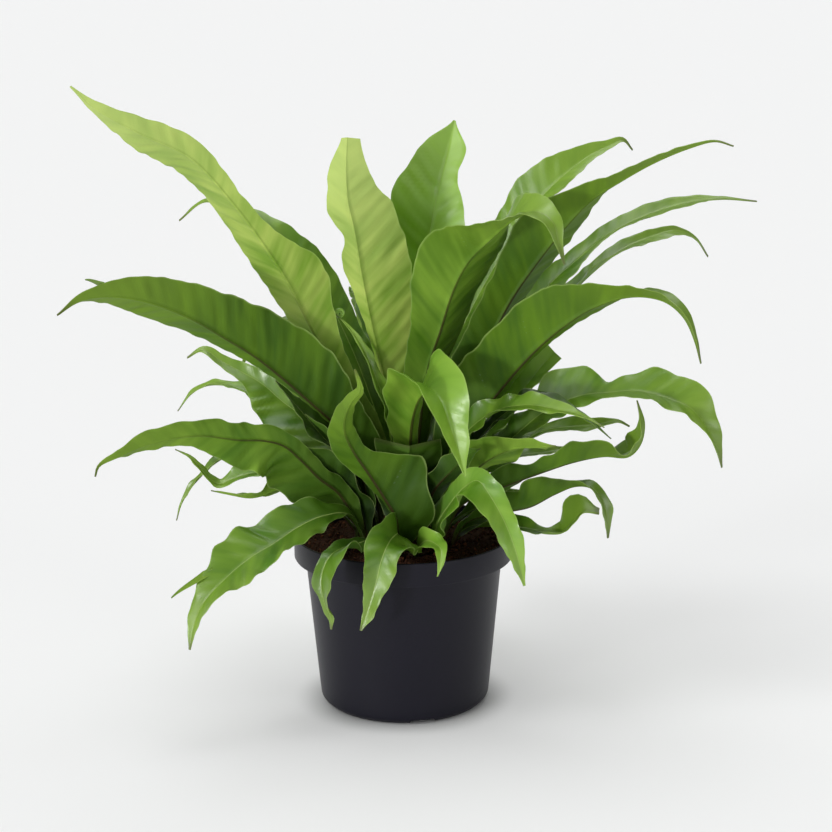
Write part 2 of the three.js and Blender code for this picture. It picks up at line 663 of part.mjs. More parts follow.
// What the pot's wall looks like in section: outside from the ground up, then inside down again.
function potSolid() {
  const rimBottom = potHeight - rimHeight;
  const floorTop = floorHeight + floorThickness;
  const rimInside = rimRadius - wallThickness;
  const wallTopInside = wallTopRadius - wallThickness;
  const wallFootInside = wallFootRadius - wallThickness;
  const outside = [
    [0, 0],
    [padRadius, 0],
    [padRadius + ringTaper, floorHeight],
    [footRingInnerRadius - ringTaper, floorHeight],
    [footRingInnerRadius, 0],
    [standRadius, 0],
    [standRadius + heelReach, heelRise],
    [wallFootRadius - lipRound, heelTop],
    [wallFootRadius, wallFootHeight],
    [wallTopRadius, rimBottom],
    [rimRadius - lipRound, rimBottom],
    [rimRadius, rimBottom + lipRound],
    [rimRadius, potHeight - lipRound],
    [rimRadius - lipRound, potHeight],
  ];
  const inside = [
    [rimInside, potHeight - lipRound],
    [rimInside, rimBottom + 2 * wallThickness],
    [wallTopInside, rimBottom + wallThickness],
    [wallFootInside, wallFootHeight],
    [wallFootInside - cornerFillet / 2, floorTop + cornerRise],
    [wallFootInside - cornerFillet, floorTop],
    [0, floorTop],
  ];
  let pot = turned([...outside, ...inside], potSides);
  for (let index = 0; index < notchCount; index += 1) {
    const notch = new THREE.BoxGeometry(notchLength, notchWidth, 2 * notchHeight);
    notch.translate(standRadius, 0, 0);
    notch.rotateZ(THREE.MathUtils.degToRad(notchAzimuth + index * 360 / notchCount));
    pot = pot.subtract(solidFrom(notch));
  }
  for (let index = 0; index < drainCount; index += 1) {
    const drain = new THREE.CylinderGeometry(drainRadius, drainRadius, 4 * floorThickness, drainSides);
    drain.rotateX(Math.PI / 2);
    const place = polar(drainRingRadius, (index + 0.5) * 360 / drainCount, floorTop);
    drain.translate(place.x, place.y, place.z);
    pot = pot.subtract(solidFrom(drain));
  }
  return pot;
}

// Soil fills the pot, a gap clear of its wall, with a plain recess for the crown.
function soilSolid() {
  const rimBottom = potHeight - rimHeight;
  const floorTop = floorHeight + floorThickness + gap;
  const wall = wallThickness + gap;
  return turned([
    [0, floorTop],
    [wallFootRadius - wall - cornerFillet, floorTop],
    [wallFootRadius - wall - cornerFillet / 2, floorTop + cornerRise],
    [wallFootRadius - wall, wallFootHeight + gap],
    [wallTopRadius - wall, rimBottom + wallThickness + gap],
    [rimRadius - wall - soilRimClearance, rimBottom + 2 * wallThickness + gap],
    [soilRadius, soilLevel - soilEdgeDrop],
    [soilRadius - soilEdgeWidth, soilLevel - gap],
    [soilFlatRadius, soilLevel],
    [crownRadius + gap, soilLevel],
    [crownRadius + gap, crownBottom - gap],
    [0, crownBottom - gap],
  ], potSides);
}

// The crown is the low mound of old leaf bases that the fronds grow from.
function crownSolid() {
  const domeShares = [0.75, 0.4];
  const profile = [[0, crownBottom], [crownRadius, crownBottom], [crownRadius, crownEdge]];
  for (const share of domeShares) {
    profile.push([crownRadius * share, groundHeight(crownRadius * share)]);
  }
  profile.push([0, groundHeight(0)]);
  return turned(profile, crownSides);
}

const part = new THREE.Group();

function addMesh(name, geometry, material) {
  const mesh = new THREE.Mesh(geometry, material);
  mesh.name = name;
  part.add(mesh);
}

// Each frond stands in its own hole: the shape of its foot, a gap larger on every side.
let soil = soilSolid();
let crown = crownSolid();
const holeStations = 2;
for (const frond of fronds) {
  const hole = solidFrom(bladeGeometry(bladeRows(frond, narrowRows), gap, holeStations));
  soil = soil.subtract(hole);
  crown = crown.subtract(hole);
  addMesh(frond.name, bladeGeometry(bladeRows(frond)), frondMaterial);
}
addMesh("crown", geometryFrom(crown), crownMaterial);
addMesh("soil", geometryFrom(soil), soilMaterial);
addMesh("pot", geometryFrom(potSolid()), potMaterial);

export default part;
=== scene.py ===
import itertools
import math
from dataclasses import dataclass

import bpy
import numpy as np
from mathutils import Matrix, Vector


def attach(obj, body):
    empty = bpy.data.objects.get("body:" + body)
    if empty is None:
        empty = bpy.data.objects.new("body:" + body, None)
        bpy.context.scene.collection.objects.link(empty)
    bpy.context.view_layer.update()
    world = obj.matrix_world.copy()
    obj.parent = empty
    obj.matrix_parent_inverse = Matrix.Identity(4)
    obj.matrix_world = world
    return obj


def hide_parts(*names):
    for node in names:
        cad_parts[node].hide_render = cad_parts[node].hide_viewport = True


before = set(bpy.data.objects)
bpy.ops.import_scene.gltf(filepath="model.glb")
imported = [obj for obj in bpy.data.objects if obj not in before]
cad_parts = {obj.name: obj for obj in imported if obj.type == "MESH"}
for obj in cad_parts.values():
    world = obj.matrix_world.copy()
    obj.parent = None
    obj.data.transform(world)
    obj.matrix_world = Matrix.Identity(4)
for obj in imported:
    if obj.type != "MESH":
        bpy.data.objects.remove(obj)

# A bird's nest fern in a plastic nursery pot, dressed for its photograph.
# Sizes are in millimetres, as on the plant, and meshes are scaled to metres when they are made.
MM = 0.001

# Camera, at the photograph's angle.
FRAME_SIDE = 832
FOCAL_PIXELS = 2088
SENSOR_WIDTH = 36
CAMERA_DISTANCE = 1600
CAMERA_ELEVATION = 13.9
CAMERA_ROLL = -0.42
CAMERA_TARGET = (10.3, 0, 226.6)

# Suns: strength, then spread, azimuth and elevation in degrees. Azimuth 270 is the front, 180 the left.
SUNS = {
    "strip_left": (0.4, 26, 232, 24),
    "strip_left_low": (1.7, 9, 228, 2),
    "strip_right": (0.35, 14, 314, 8),
    "softbox_left": (0.9, 22, 212, 52),
    "softbox_top": (1.5, 50, 80, 76),
}

# The backdrop glows at the horizon and is dimmer overhead, by the upward part of a direction.
HORIZON = 0.04
HORIZON_GLOW = 0.9
OVERHEAD = 0.28
OVERHEAD_GLOW = 0.22

# The floor glows faintly away from the pot, and the glow fades out round the pot as a painted shadow. The
# glow sets in between two distances, in metres.
FLOOR_REACH = 30000
FLOOR_COLOUR = (0.6, 0.605, 0.605, 1)
FLOOR_GLOW = 0.29
GLOW_FROM = 0.055
GLOW_TO = 0.09
WHITE = (1, 1, 1, 1)

# Pot: the sizes of the solid that it stands for, with finer steps at the heel and the rim.
POT_HEIGHT = 135
RIM_RADIUS = 85
RIM_HEIGHT = 18.5
WALL = 1.6
WALL_TOP_RADIUS = 76.3
WALL_FOOT_RADIUS = 66.6
WALL_FOOT_HEIGHT = 12
STAND_RADIUS = 61
HEEL_REACH = 4.7
HEEL_TOP = 4
PAD_RADIUS = 18
RING_TAPER = 1
FLOOR_HEIGHT = 4
FLOOR_TOP = 5.8
FLOOR_SLOPE = 5
FOOT_RING_INNER_RADIUS = 54
RIM_BEVEL = 0.6
RIM_UNDERCUT = 0.1
RIM_INSIDE_TAPER = 0.5
RIM_INSIDE_FOOT = 3.5
LEDGE_HEIGHT = 1.4
NOTCH_COUNT = 3
NOTCH_DEPTH = 20
NOTCH_WIDTH = 20
NOTCH_HEIGHT = 3.4
NOTCH_AZIMUTH = 283
NOTCH_OUTSET = 1
DRAIN_COUNT = 6
DRAIN_RADIUS = 5
DRAIN_RING_RADIUS = 37
DRAIN_SIDES = 32
POT_SIDES = 160
FILLET_STEPS = 5
POT_SHARP_ANGLE = 35

# Soil and its grains. Ripples are how many waves, their rise and their pitch. A pair of numbers, here
# and for the crown, is the range of a random draw.
SOIL_LEVEL = 125.5
SOIL_RADIUS = 82
SOIL_OVERLAP = 0.8
SOIL_SINK = 1.2
SOIL_FALL = 1.2
SOIL_EDGE = 7
SOIL_UNDER_CROWN = 4
SOIL_SIDES = 240
SOIL_RINGS = 44
SOIL_RINGS_UNDER_CROWN = 6
SOIL_RIPPLES = ((24, 0.5, 5), (12, 0.6, 21))
SOIL_TONE = 0.3
SOIL_SEED = 7
GRAIN_COUNT = 2200
GRAIN_SIZE = 1.2
GRAIN_EXTRA_SIZE = 3.6
GRAIN_CORNER_REACH = (0.7, 1.15)
GRAIN_FLATNESS = (0.55, 1)
GRAIN_SINK = 1
GRAIN_LIFT = 0.12
GRAIN_WALL_GAP = 2
GRAIN_SHARP_ANGLE = 40

# Crown and its scales.
CROWN_RADIUS = 35
CROWN_RISE = 11.5
CROWN_EDGE = 126.5
CROWN_SINK = 0.8
CROWN_SIDES = 96
CROWN_RINGS = 18
CROWN_INMOST_RING = 0.5
CROWN_OVERLAP = 1
CROWN_RIPPLES = (20, 0.5, 7)
CROWN_TONE = 0.2
CROWN_SEED = 11
SCALE_COUNT = 2600
SCALE_TURN = 25
SCALE_LEAN = (0.2, 0.9)
SCALE_LENGTH = (3, 8)
SCALE_HALF_WIDTH = (0.35, 0.7)
SCALE_SINK = 1
SCALE_BEND = 0.15
SCALE_BELLY = 0.55
SCALE_BELLY_WIDTH = 0.8
SCALE_BELLY_BEND = 0.3
ROOT_DEPTH = 8

# Frond blades: the same form as the solids, with finer steps. A belly is an outline from foot to tip, as
# shares of the widest half width. A wave is its rise, how many run along the blade, where the first
# starts and how far the two sides are apart in it.
BLADE_THICKNESS = 0.7
MARGIN_THICKNESS = 0.3
MARGIN_START = 0.8
RIB_THICKNESS = 2.4
RIB_THICKNESS_AT_TIP = 0.8
RIB_HALF_WIDTH = 1.7
RIB_HALF_WIDTH_AT_TIP = 0.45
RIB_STAND = 0.15
MOST_RIB_SHARE = 0.6
LEAST_HALF_WIDTH = 0.45
PETIOLE_HALF_WIDTH = 2
USUAL_CUP = (25,)
LOBING = 0.05
LOBE_LEAD = 1.3
USUAL_WAVE = (4, 3, 0, 0.5)
LATE_BELLY = (0.1, 0.16, 0.36, 0.7, 1, 1, 0.72, 0.36, 0.03)
EARLY_BELLY = (0.1, 0.3, 0.7, 1, 0.95, 0.8, 0.55, 0.25, 0.03)
STATION_STEP = 2.4
FEWEST_STATIONS = 36
RIB_SHARES = (0.4, 0.75, 1)
BLADE_SHARES = (0.1, 0.22, 0.34, 0.46, 0.58, 0.69, 0.79, 0.88, 0.95, 1)

# Waves, ruffles and pleats fade out within these shares of the blade, at its foot and its tip.
FOOT_FADE = 0.15
TIP_FADE = 0.12

# Pleats run forward from the rib to the margin, and the margin is finely ruffled. The powers say how
# much a form keeps to the margin, and the lag is in stations.
PLEAT_PITCH = 13
PLEAT_RISE = 0.75
PLEAT_SLANT = 0.75
PLEAT_START = 7
PLEATED_HALF_WIDTH = 30
PLEAT_EASE = 0.5
PLEAT_EASE_START = 0.75
LEAST_ROOM = 0.2
WAVE_POWER = 1.5
RUFFLE_RISE = 2
RUFFLE_SHARE_HIGH = 0.3
RUFFLE_PITCH = 27
RUFFLE_POWER = 3
SCALLOP = 0.05
CRIMP = 0.3
CRIMP_LOW = 0.55
CRIMP_PITCH = 21
CRIMP_POWER = 6
MARGIN_LAG = 2

# Slow drifts of the pleats' place and depth and of the ruffles' place: pitch, and how much. Each is a
# sum of waves at shares of its pitch.
PLEAT_DRIFT = (90, 0.9)
PLEAT_DEPTH_DRIFT = (50, 0.7)
RUFFLE_DRIFT = (140, 1.2)
DRIFT_PITCHES = (1, 0.57)
DRIFT_SCALE = 1.5

# Small second tips: number of the frond, side, share of the way to the tip, length and width. The
# root is the share of the length that lies on the leaf, and the aim is in stations of the rib.
FORKS = [(12, 1, 0.75, 31, 6), (5, -1, 0.9, 14, 5)]
FORK_ROOT = 0.2
FORK_INSET = 0.4
FORK_HOLLOW = 0.15
FORK_STATIONS = 12
FORK_AIM = 4
FORK_TAPER = 1.4
FORK_ROUNDING = 0.2

# The rolled tip of the young frond, which thins towards its end.
COILED_FROND = 34
COIL_RADIUS = 3.4
COIL_RADIUS_AT_END = 0.85
COIL_TURNS = 1.7
COIL_STEM_RADIUS = 1.5
COIL_STEM_RADIUS_AT_END = 0.675
COIL_LENGTH = 40
COIL_SIDES = 10
COIL_STATIONS = 60

# Greens of each kind of frond: deep and light of the upper face, the same of the under face, and the
# tip. Then how much light comes through, how brown the tip is, and where the dark rib below ends. The
# shaded greens are painted shade: darker copies of the greens for the fronds deep in the middle.
GREENS = {
    "pale": (("7da22c", "c2d66a"), ("78a02c", "bed068"), "ccdc86", 0.3, 0, 0.6),
    "fresh": (("74a622", "9aca46"), ("6c9c1e", "94c442"), "aed058", 0.36, 0, 0.85),
    "bright": (("649a22", "94be44"), ("5c8a1c", "8cb03a"), "9abf46", 0.28, 0, 0.85),
    "mid": (("4a7812", "7ca22e"), ("476f10", "7ca032"), "8cab3e", 0.22, 0.6, 0.85),
    "deep": (("38620c", "5c841c"), ("385c08", "5a7e14"), "82a036", 0.18, 0.6, 0.85),
    "shaded": (("1f3a05", "38580e"), ("182e03", "304e08"), "4c701a", 0.1, 0.4, 0.85),
}
# Dark green towards a blade's foot: partly the real darker leaf base, partly painted shade deep in the
# rosette.
INMOST_GREEN_AND_PAINTED_SHADE = "1c3405"
MARGIN_GREEN = "b9cf7c"
LIGHT_THROUGH_GREEN = "b7df2a"
DRY_TIP_BROWN = "4d4032"
FOOT_BROWN = "3b2a17"

# Fronds of each kind by number. All others are mid. The shaded fronds sit deep in the middle of the plant,
# and their darker greens are painted shade.
KINDS = {
    "pale": (1, 3),
    "fresh": (4,),
    "bright": (15, 16, 17, 33),
    "deep": (5, 10, 13, 19, 23, 26, 30, 35, 42, 43, 44, 45, 46),
    "shaded": (36, 37, 38, 39, 40, 41),
}


@dataclass
class Frond:
    """One frond. Its foot is a radius and an azimuth, and each point of its rib is a reach, a height and,
    where it leaves the heading, a drift aside. Roll and cup are in degrees, and left and right are half
    widths, from foot to tip. One width stands for two equal sides with the outline of a belly."""
    number: int
    region: str
    foot: tuple
    heading: float
    roll: tuple
    rib: tuple
    left: tuple = ()
    right: tuple = ()
    width: float = 0
    belly: tuple = LATE_BELLY
    wave: tuple = USUAL_WAVE
    cup: tuple = USUAL_CUP

    def __post_init__(self):
        self.name = f"frond_{self.number:02d}_{self.region}"
        if self.width:
            widths = [share * self.width / 2 for share in self.belly]
            widths[0] = max(widths[0], PETIOLE_HALF_WIDTH)
            self.left = self.right = tuple(widths)


# The fronds, with the numbers and sizes of the solids that they stand for. Only frond 8 has a left side
# up to 4 mm wider low down, which closes a gap between two leaves. From 42 on they grow at the back.
FRONDS = [
    Frond(1, "left_high", foot=(12, 192), heading=195, roll=(-15, -45, -55, -55, -50, -40),
        rib=((20, 209), (45, 254), (67, 294), (87, 335), (106, 366), (127, 396), (157, 430), (195, 450),
            (224, 468), (241, 484)),
        left=(2, 3, 6, 10, 14, 20, 27, 14, 10, 12, 13, 9, 1),
        right=(2, 4, 10, 16, 20, 22, 24, 26, 28, 30, 27, 17, 1)),
    Frond(2, "left_high", foot=(12, 150), heading=156, roll=(-5, 20, 20, 15, 40),
        rib=((15, 198), (34, 256), (52, 294), (70, 324), (89, 346), (111, 366), (141, 380), (168, 383),
            (191, 367)),
        left=(2, 4, 8, 12, 14, 12, 8, 4, 1), right=(2, 6, 16, 15, 18, 15, 10, 4, 1)),
    Frond(3, "front_high", foot=(5, 250), heading=230, roll=(-25, -25, -25, -30, -30),
        rib=((6, 185), (12, 244, -5), (22, 299, -11), (31, 341, -13), (39, 373, -12), (45, 397, -13),
            (45, 423, -14), (40, 442, -17)),
        left=(2, 3, 5, 7, 10, 14, 19, 24, 30, 38, 40, 39, 34, 31, 24, 16, 10),
        right=(2, 3, 3, 3, 4, 4, 4, 4, 5, 8, 12, 17, 11, 20, 17, 14, 5), wave=(3, 3, 0, 0.5)),
    Frond(4, "back_high", foot=(6, 75), heading=85, roll=(5, 10, 5, -5, -15),
        rib=((11, 197, -5), (17, 251, -8), (23, 289, -10), (34, 350, -17), (42, 395, -25),
            (48, 425, -32), (51, 447, -37)),
        left=(2, 2, 3, 3, 4, 5, 6, 8, 10, 13, 17, 23, 33, 37, 31, 22, 1),
        right=(2, 2, 3, 3, 4, 5, 6, 8, 10, 12, 15, 20, 29, 22, 12, 14, 1), wave=(2, 3, 0, 0.5)),
    Frond(5, "left_high", foot=(19, 212), heading=205, roll=(-15, -45, -55, -60, -55, -45),
        rib=((31, 199), (52, 223), (76, 246), (96, 265), (119, 285), (142, 301), (168, 318), (198, 332),
            (227, 339), (249, 338), (266, 329)),
        left=(2, 8, 22, 36, 35, 34, 22, 13, 1), right=(2, 4, 6, 5, 8, 14, 24, 14, 1)),
    Frond(6, "left_middle", foot=(18, 176), heading=167, roll=(-5, 20, 45, 60, 50, 40),
        rib=((46, 193), (66, 211), (82, 224), (95, 233), (112, 247), (129, 256), (145, 264), (159, 272),
            (172, 265)),
        left=(2, 4, 9, 26, 36, 26, 10, 6, 1), right=(2, 4, 8, 10, 12, 12, 9, 5, 1)),
    Frond(7, "left_middle", foot=(24, 156), heading=150, roll=(-20, -10, 5, 50),
        rib=((48, 190), (94, 216), (130, 225), (146, 230), (165, 233), (185, 230), (200, 221),
            (213, 206)), width=20, wave=(2, 3, 0.1, 0.5)),
    Frond(8, "left_middle", foot=(32, 208), heading=206, roll=(10, -60, -88, -84, -55, -40),
        rib=((53, 171), (71, 187), (85, 202), (99, 215), (115, 221), (135, 224), (165, 231), (190, 231),
            (210, 228), (229, 222), (242, 217), (245, 210)),
        left=(2, 8, 10, 10, 12, 14, 12, 9, 1), right=(2, 12, 26, 30, 25, 14, 10, 8, 1),
        cup=(25, 10, 5, 10, 25)),
    Frond(9, "left_low", foot=(32, 181), heading=178, roll=(5, 5, 15, 35, 45),
        rib=((57, 158), (80, 171), (104, 181), (120, 180), (132, 176), (142, 172), (150, 176),
            (158, 186), (165, 194), (176, 200)), width=16, wave=(2, 3, 0.1, 0.5)),
    Frond(10, "left_low", foot=(31, 172), heading=173, roll=(10, 10, 30, 40),
        rib=((46, 161), (88, 183), (120, 195), (137, 192), (150, 184), (160, 174), (170, 162),
            (176, 151), (180, 138)), width=13, wave=(1.5, 3, 0.2, 0.5)),
    Frond(11, "left_low", foot=(38, 195), heading=189, roll=(20, -15, -30, -10),
        rib=((38, 150), (62, 160), (81, 170), (96, 173), (110, 169), (119, 168), (133, 171), (148, 175)),
        width=18, wave=(3, 3, 0.6, 0.5)),
    Frond(12, "left_low", foot=(39, 226), heading=216, roll=(50, 35, 30, 30, 25, 25),
        rib=((50, 156), (73, 160), (95, 156), (118, 147), (141, 139), (164, 126), (181, 112), (189, 96),
            (193, 80)),
        left=(2, 4, 12, 24, 28, 28, 22, 10, 1), right=(2, 4, 12, 20, 24, 22, 16, 8, 1)),
    Frond(13, "front_low", foot=(40, 240), heading=232, roll=(30, 10, -15, -20),
        rib=((56, 142, 10), (71, 143, 10), (89, 145, 12), (105, 143, 14), (113, 134, 14),
            (116, 123, 15), (116, 111, 18), (113, 101, 21), (113, 91, 21)),
        left=(2, 5, 9, 14, 16, 16, 13, 8, 1), right=(2, 3, 4, 7, 8, 6, 6, 4, 1)),
    Frond(14, "front_low", foot=(38, 256), heading=258, roll=(40, 35, 10, 10),
        rib=((58, 150, 8), (72, 150, 6), (85, 147, 5), (93, 139, 3), (98, 127, 1), (101, 108, -4),
            (104, 89, -10)),
        left=(2, 10, 20, 22, 12, 15, 8, 7, 1), right=(2, 6, 12, 17, 18, 12, 9, 4, 1), wave=(5, 3, 0, 0.5)),
    Frond(15, "front_low", foot=(38, 284), heading=283, roll=(-60, -80, -40, 5),
        rib=((62, 145, 3), (80, 148, 6), (90, 146, 8), (96, 139, 6), (99, 129, 3)),
        width=20, belly=EARLY_BELLY, wave=(3, 1.5, 0.1, 0.55)),
    Frond(16, "front_low", foot=(38, 312), heading=308, roll=(-40, -70, -60, -20, -15, -20),
        rib=((50, 152, -6), (66, 174, -5), (84, 190, -6), (98, 197, -6), (112, 188, -6), (124, 171, -3),
            (132, 150, 1), (136, 124, 6)),
        left=(2, 6, 10, 10, 10, 11, 9, 6, 1), right=(2, 10, 24, 26, 22, 18, 14, 8, 1)),
    Frond(17, "front_middle", foot=(19, 286), heading=290, roll=(0, -5, -10, -15, -10),
        rib=((30, 208, -5), (42, 235, -7), (60, 256, -7), (78, 264, -5), (92, 258, -3), (102, 241),
            (110, 225, 3), (116, 208, 6)),
        left=(2, 5, 8, 14, 24, 33, 24, 12, 1), right=(2, 5, 8, 14, 24, 33, 22, 11, 1),
        wave=(2, 2.5, 0, 0.5), cup=(25, 30, 45, 45, 30)),
    Frond(18, "right_high", foot=(12, 312), heading=318, roll=(40, 30, 20, 25, 15, -20, -10),
        rib=((15, 202), (25, 264), (39, 299), (52, 331), (66, 353), (87, 372), (110, 389), (129, 396),
            (144, 390), (149, 377), (155, 361)),
        left=(2, 6, 14, 22, 30, 38, 30, 12, 1), right=(2, 5, 10, 18, 27, 34, 30, 16, 1)),
    Frond(19, "right_high", foot=(12, 346), heading=342, roll=(25, 40, 45, 45, 20, 0),
        rib=((30, 202), (46, 242), (66, 282), (85, 320), (106, 351), (127, 378), (146, 398), (168, 413),
            (192, 427), (217, 438), (235, 443), (248, 440)),
        left=(2, 6, 14, 20, 20, 20, 15, 9, 1), right=(2, 6, 14, 20, 24, 28, 14, 8, 1)),
    Frond(20, "right_high", foot=(12, 28), heading=25, roll=(-15, -20, -20, -15, -50),
        rib=((23, 229), (45, 278), (68, 319), (94, 356), (118, 385), (141, 404), (162, 417), (178, 423),
            (191, 427), (200, 419)),
        left=(2, 4, 8, 15, 20, 24, 24, 11, 1), right=(2, 4, 8, 14, 22, 26, 22, 8, 1)),
    Frond(21, "right_high", foot=(18, 4), heading=14, roll=(5, -10, -20, -15, -15),
        rib=((34, 201), (60, 245), (90, 289), (117, 322), (141, 342), (162, 358), (190, 371),
            (222, 380), (255, 383), (286, 380)),
        left=(2, 3, 6, 10, 11, 12, 10, 6, 1), right=(2, 4, 8, 16, 23, 25, 20, 11, 1)),
    Frond(22, "right_high", foot=(18, 28), heading=27, roll=(10, 0, 0, -55),
        rib=((37, 187), (72, 227), (112, 271), (144, 304), (174, 327), (196, 339), (221, 347),
            (247, 351), (266, 343), (279, 327)),
        left=(2, 3, 6, 10, 13, 12, 8, 4, 1), right=(2, 4, 8, 15, 21, 21, 13, 9, 1)),
    Frond(23, "right_high", foot=(19, 330), heading=330, roll=(10, 40, 50, 50, 35, 15, 5),
        rib=((40, 193), (57, 221), (84, 256), (110, 286), (133, 307), (157, 324), (180, 334),
            (200, 337), (217, 334), (230, 324), (238, 309), (243, 293)),
        left=(2, 4, 6, 6, 6, 10, 18, 10, 1), right=(2, 10, 24, 36, 36, 30, 16, 13, 1)),
    Frond(24, "right_middle", foot=(25, 350), heading=346, roll=(-40, -40, -40, -30, -25, -20),
        rib=((53, 187), (84, 212), (111, 236), (137, 249), (160, 253), (182, 255), (205, 250),
            (221, 243), (233, 228), (240, 213), (244, 200)),
        left=(2, 3, 4, 6, 8, 12, 14, 10, 24, 24, 11, 18, 21, 18, 14, 8, 1),
        right=(2, 3, 4, 6, 9, 13, 17, 19, 20, 20, 20, 21, 21, 18, 12, 7, 1)),
    Frond(25, "right_middle", foot=(25, 322), heading=322, roll=(-45, -55, -35, -15),
        rib=((36, 174), (50, 208), (69, 230), (92, 245), (119, 252), (145, 252), (167, 250), (183, 245)),
        width=24, wave=(3, 3, 0.1, 0.5)),
    Frond(26, "right_middle", foot=(32, 338), heading=335, roll=(-25, 30, 35, 30, 0, -20),
        rib=((48, 161), (81, 179), (113, 194), (140, 205, 3), (162, 211, 5), (180, 212, 7),
            (188, 221, 10), (191, 237, 10), (188, 256, 2)),
        left=(2, 6, 10, 13, 15, 15, 18, 20, 19, 9, 1), right=(2, 5, 10, 14, 16, 15, 16, 20, 22, 11, 1)),
    Frond(27, "right_middle", foot=(31, 10), heading=0, roll=(-30, -20, -20, -25),
        rib=((36, 163), (63, 187), (90, 205), (113, 215), (132, 217), (151, 219), (165, 221), (174, 217)),
        left=(2, 3, 7, 12, 14, 10, 8, 5, 1), right=(2, 3, 8, 15, 17, 15, 11, 6, 1)),
    Frond(28, "right_middle", foot=(30, 318), heading=318, roll=(-20, 20, 35, 30),
        rib=((38, 157), (53, 176), (73, 197), (92, 211), (111, 220), (130, 224), (149, 228)),
        left=(2, 6, 16, 22, 24, 24, 18, 12, 1), right=(2, 6, 14, 20, 22, 18, 14, 8, 1),
        wave=(5, 3, 0.2, 0.5)),
    Frond(29, "right_low", foot=(24, 36), heading=20, roll=(-10, -10, -15, -15),
        rib=((43, 163), (68, 177), (95, 185), (119, 186), (145, 189)),
        width=22, wave=(3, 2.5, 0.3, 0.5)),
    Frond(30, "right_low", foot=(38, 350), heading=348, roll=(-10, 35, 35, -10, -40),
        rib=((49, 145), (76, 154), (99, 160), (118, 171), (134, 178), (146, 177), (154, 168),
            (158, 154), (159, 138)),
        left=(2, 5, 9, 14, 16, 14, 9, 7, 6, 5, 1), right=(2, 5, 9, 12, 20, 28, 24, 12, 8, 6, 1)),
    Frond(31, "right_low", foot=(40, 2), heading=355, roll=(-30, 5, 5, -5, 20),
        rib=((52, 139), (90, 139), (112, 135), (123, 136), (130, 143), (139, 152), (151, 151)),
        left=(2, 8, 14, 14, 8, 7, 13, 15, 8), right=(2, 8, 12, 14, 12, 7, 6, 8, 4),
        wave=(4, 2.5, 0.3, 0.5)),
    Frond(32, "right_low", foot=(32, 20), heading=14, roll=(-15, -15, -15),
        rib=((49, 144), (74, 152), (93, 157), (107, 160)), width=24, wave=(3, 2, 0.3, 0.5)),
    Frond(33, "right_middle", foot=(24, 18), heading=12, roll=(-15, -20, -30, -40),
        rib=((41, 180), (69, 210), (89, 233), (103, 251), (113, 263), (121, 270)),
        left=(2, 3, 4, 5, 8, 13, 16, 12), right=(2, 3, 4, 5, 8, 15, 12, 11), wave=(4, 2.5, 0.1, 0.5)),
    Frond(34, "left_middle", foot=(10, 215), heading=190, roll=(40, 45, 50, 60),
        rib=((4, 187, 11), (12, 228, 15), (20, 253, 16), (33, 286, 11), (44, 302, 6), (51, 309, 3)),
        width=14, wave=(1, 2, 0.2, 0.5)),
    Frond(35, "front_middle", foot=(36, 262), heading=236, roll=(-5, -15, -30, -40, -20, 0),
        rib=((46, 161, 25), (54, 178, 20), (66, 199, 14), (78, 218, 9), (88, 234, 9), (94, 248, 14),
            (98, 261, 23), (100, 271, 32), (98, 285, 26)),
        left=(2, 14, 30, 36, 33, 14, 9, 7, 5, 3, 1), right=(2, 3, 5, 6, 9, 14, 17, 12, 7, 4, 1),
        wave=(3, 3, 0.3, 0.5)),
    Frond(36, "front_middle", foot=(26, 272), heading=275, roll=(0,),
        rib=((32, 160, -4), (40, 181, -2), (46, 201), (50, 216, 1)),
        left=(2, 12, 22, 28, 30, 27), right=(2, 10, 20, 27, 30, 27), wave=(3, 2.5, 0.1, 0.6)),
    Frond(37, "left_middle", foot=(25, 194), heading=190, roll=(20, 30, 35, 40),
        rib=((41, 188), (62, 213), (79, 235), (89, 248), (97, 259)), width=36, wave=(4, 2.5, 0.2, 0.5)),
    Frond(38, "left_middle", foot=(32, 220), heading=202, roll=(10, -10, -15),
        rib=((40, 167), (68, 196), (96, 220)),
        left=(2, 6, 11, 15, 17, 16, 12, 6, 1), right=(2, 6, 11, 15, 17, 16, 12, 6, 1),
        wave=(4, 2, 0.1, 0.5)),
    Frond(39, "left_middle", foot=(26, 208), heading=211, roll=(30, 5, 0),
        rib=((36, 185), (59, 214), (84, 239)),
        left=(2, 7, 12, 14, 12, 7, 1), right=(2, 7, 12, 14, 12, 7, 1), wave=(3, 2, 0.4, 0.5)),
    Frond(40, "front_middle", foot=(28, 300), heading=306, roll=(35, 35, 40, 45),
        rib=((50, 178, -9), (72, 201, -6), (92, 217, -6), (106, 224, -7)),
        width=24, wave=(4, 2, 0.4, 0.5)),
    Frond(41, "right_middle", foot=(24, 339), heading=337, roll=(-40, -40, -35, -15),
        rib=((42, 182), (66, 218), (90, 240), (115, 249, -2), (135, 245, -4), (152, 238, -6),
            (169, 226, -6)), width=19, wave=(2, 2, 0.1, 0.5)),
    Frond(42, "back_middle", foot=(18, 54), heading=54, roll=(0, 8, -8),
        rib=((30, 170), (60, 208), (98, 234), (140, 242), (178, 238), (205, 226)), width=48),
    Frond(43, "back_middle", foot=(12, 57), heading=57, roll=(0, -8, 10),
        rib=((22, 190), (50, 250), (85, 288), (125, 300), (165, 285), (195, 250)), width=50),
    Frond(44, "back_middle", foot=(18, 98), heading=98, roll=(0, 6, -12),
        rib=((25, 180), (50, 235), (85, 278), (130, 295), (175, 282), (210, 248), (230, 202)), width=52),
    Frond(45, "back_middle", foot=(14, 112), heading=130, roll=(0, -6, 12),
        rib=((24, 180), (55, 235), (95, 270), (140, 280), (185, 260), (215, 225)), width=48),
    Frond(46, "back_middle", foot=(18, 122), heading=122, roll=(0, 10, -6),
        rib=((30, 170), (65, 215), (110, 240), (155, 242), (190, 226), (212, 200)), width=46),
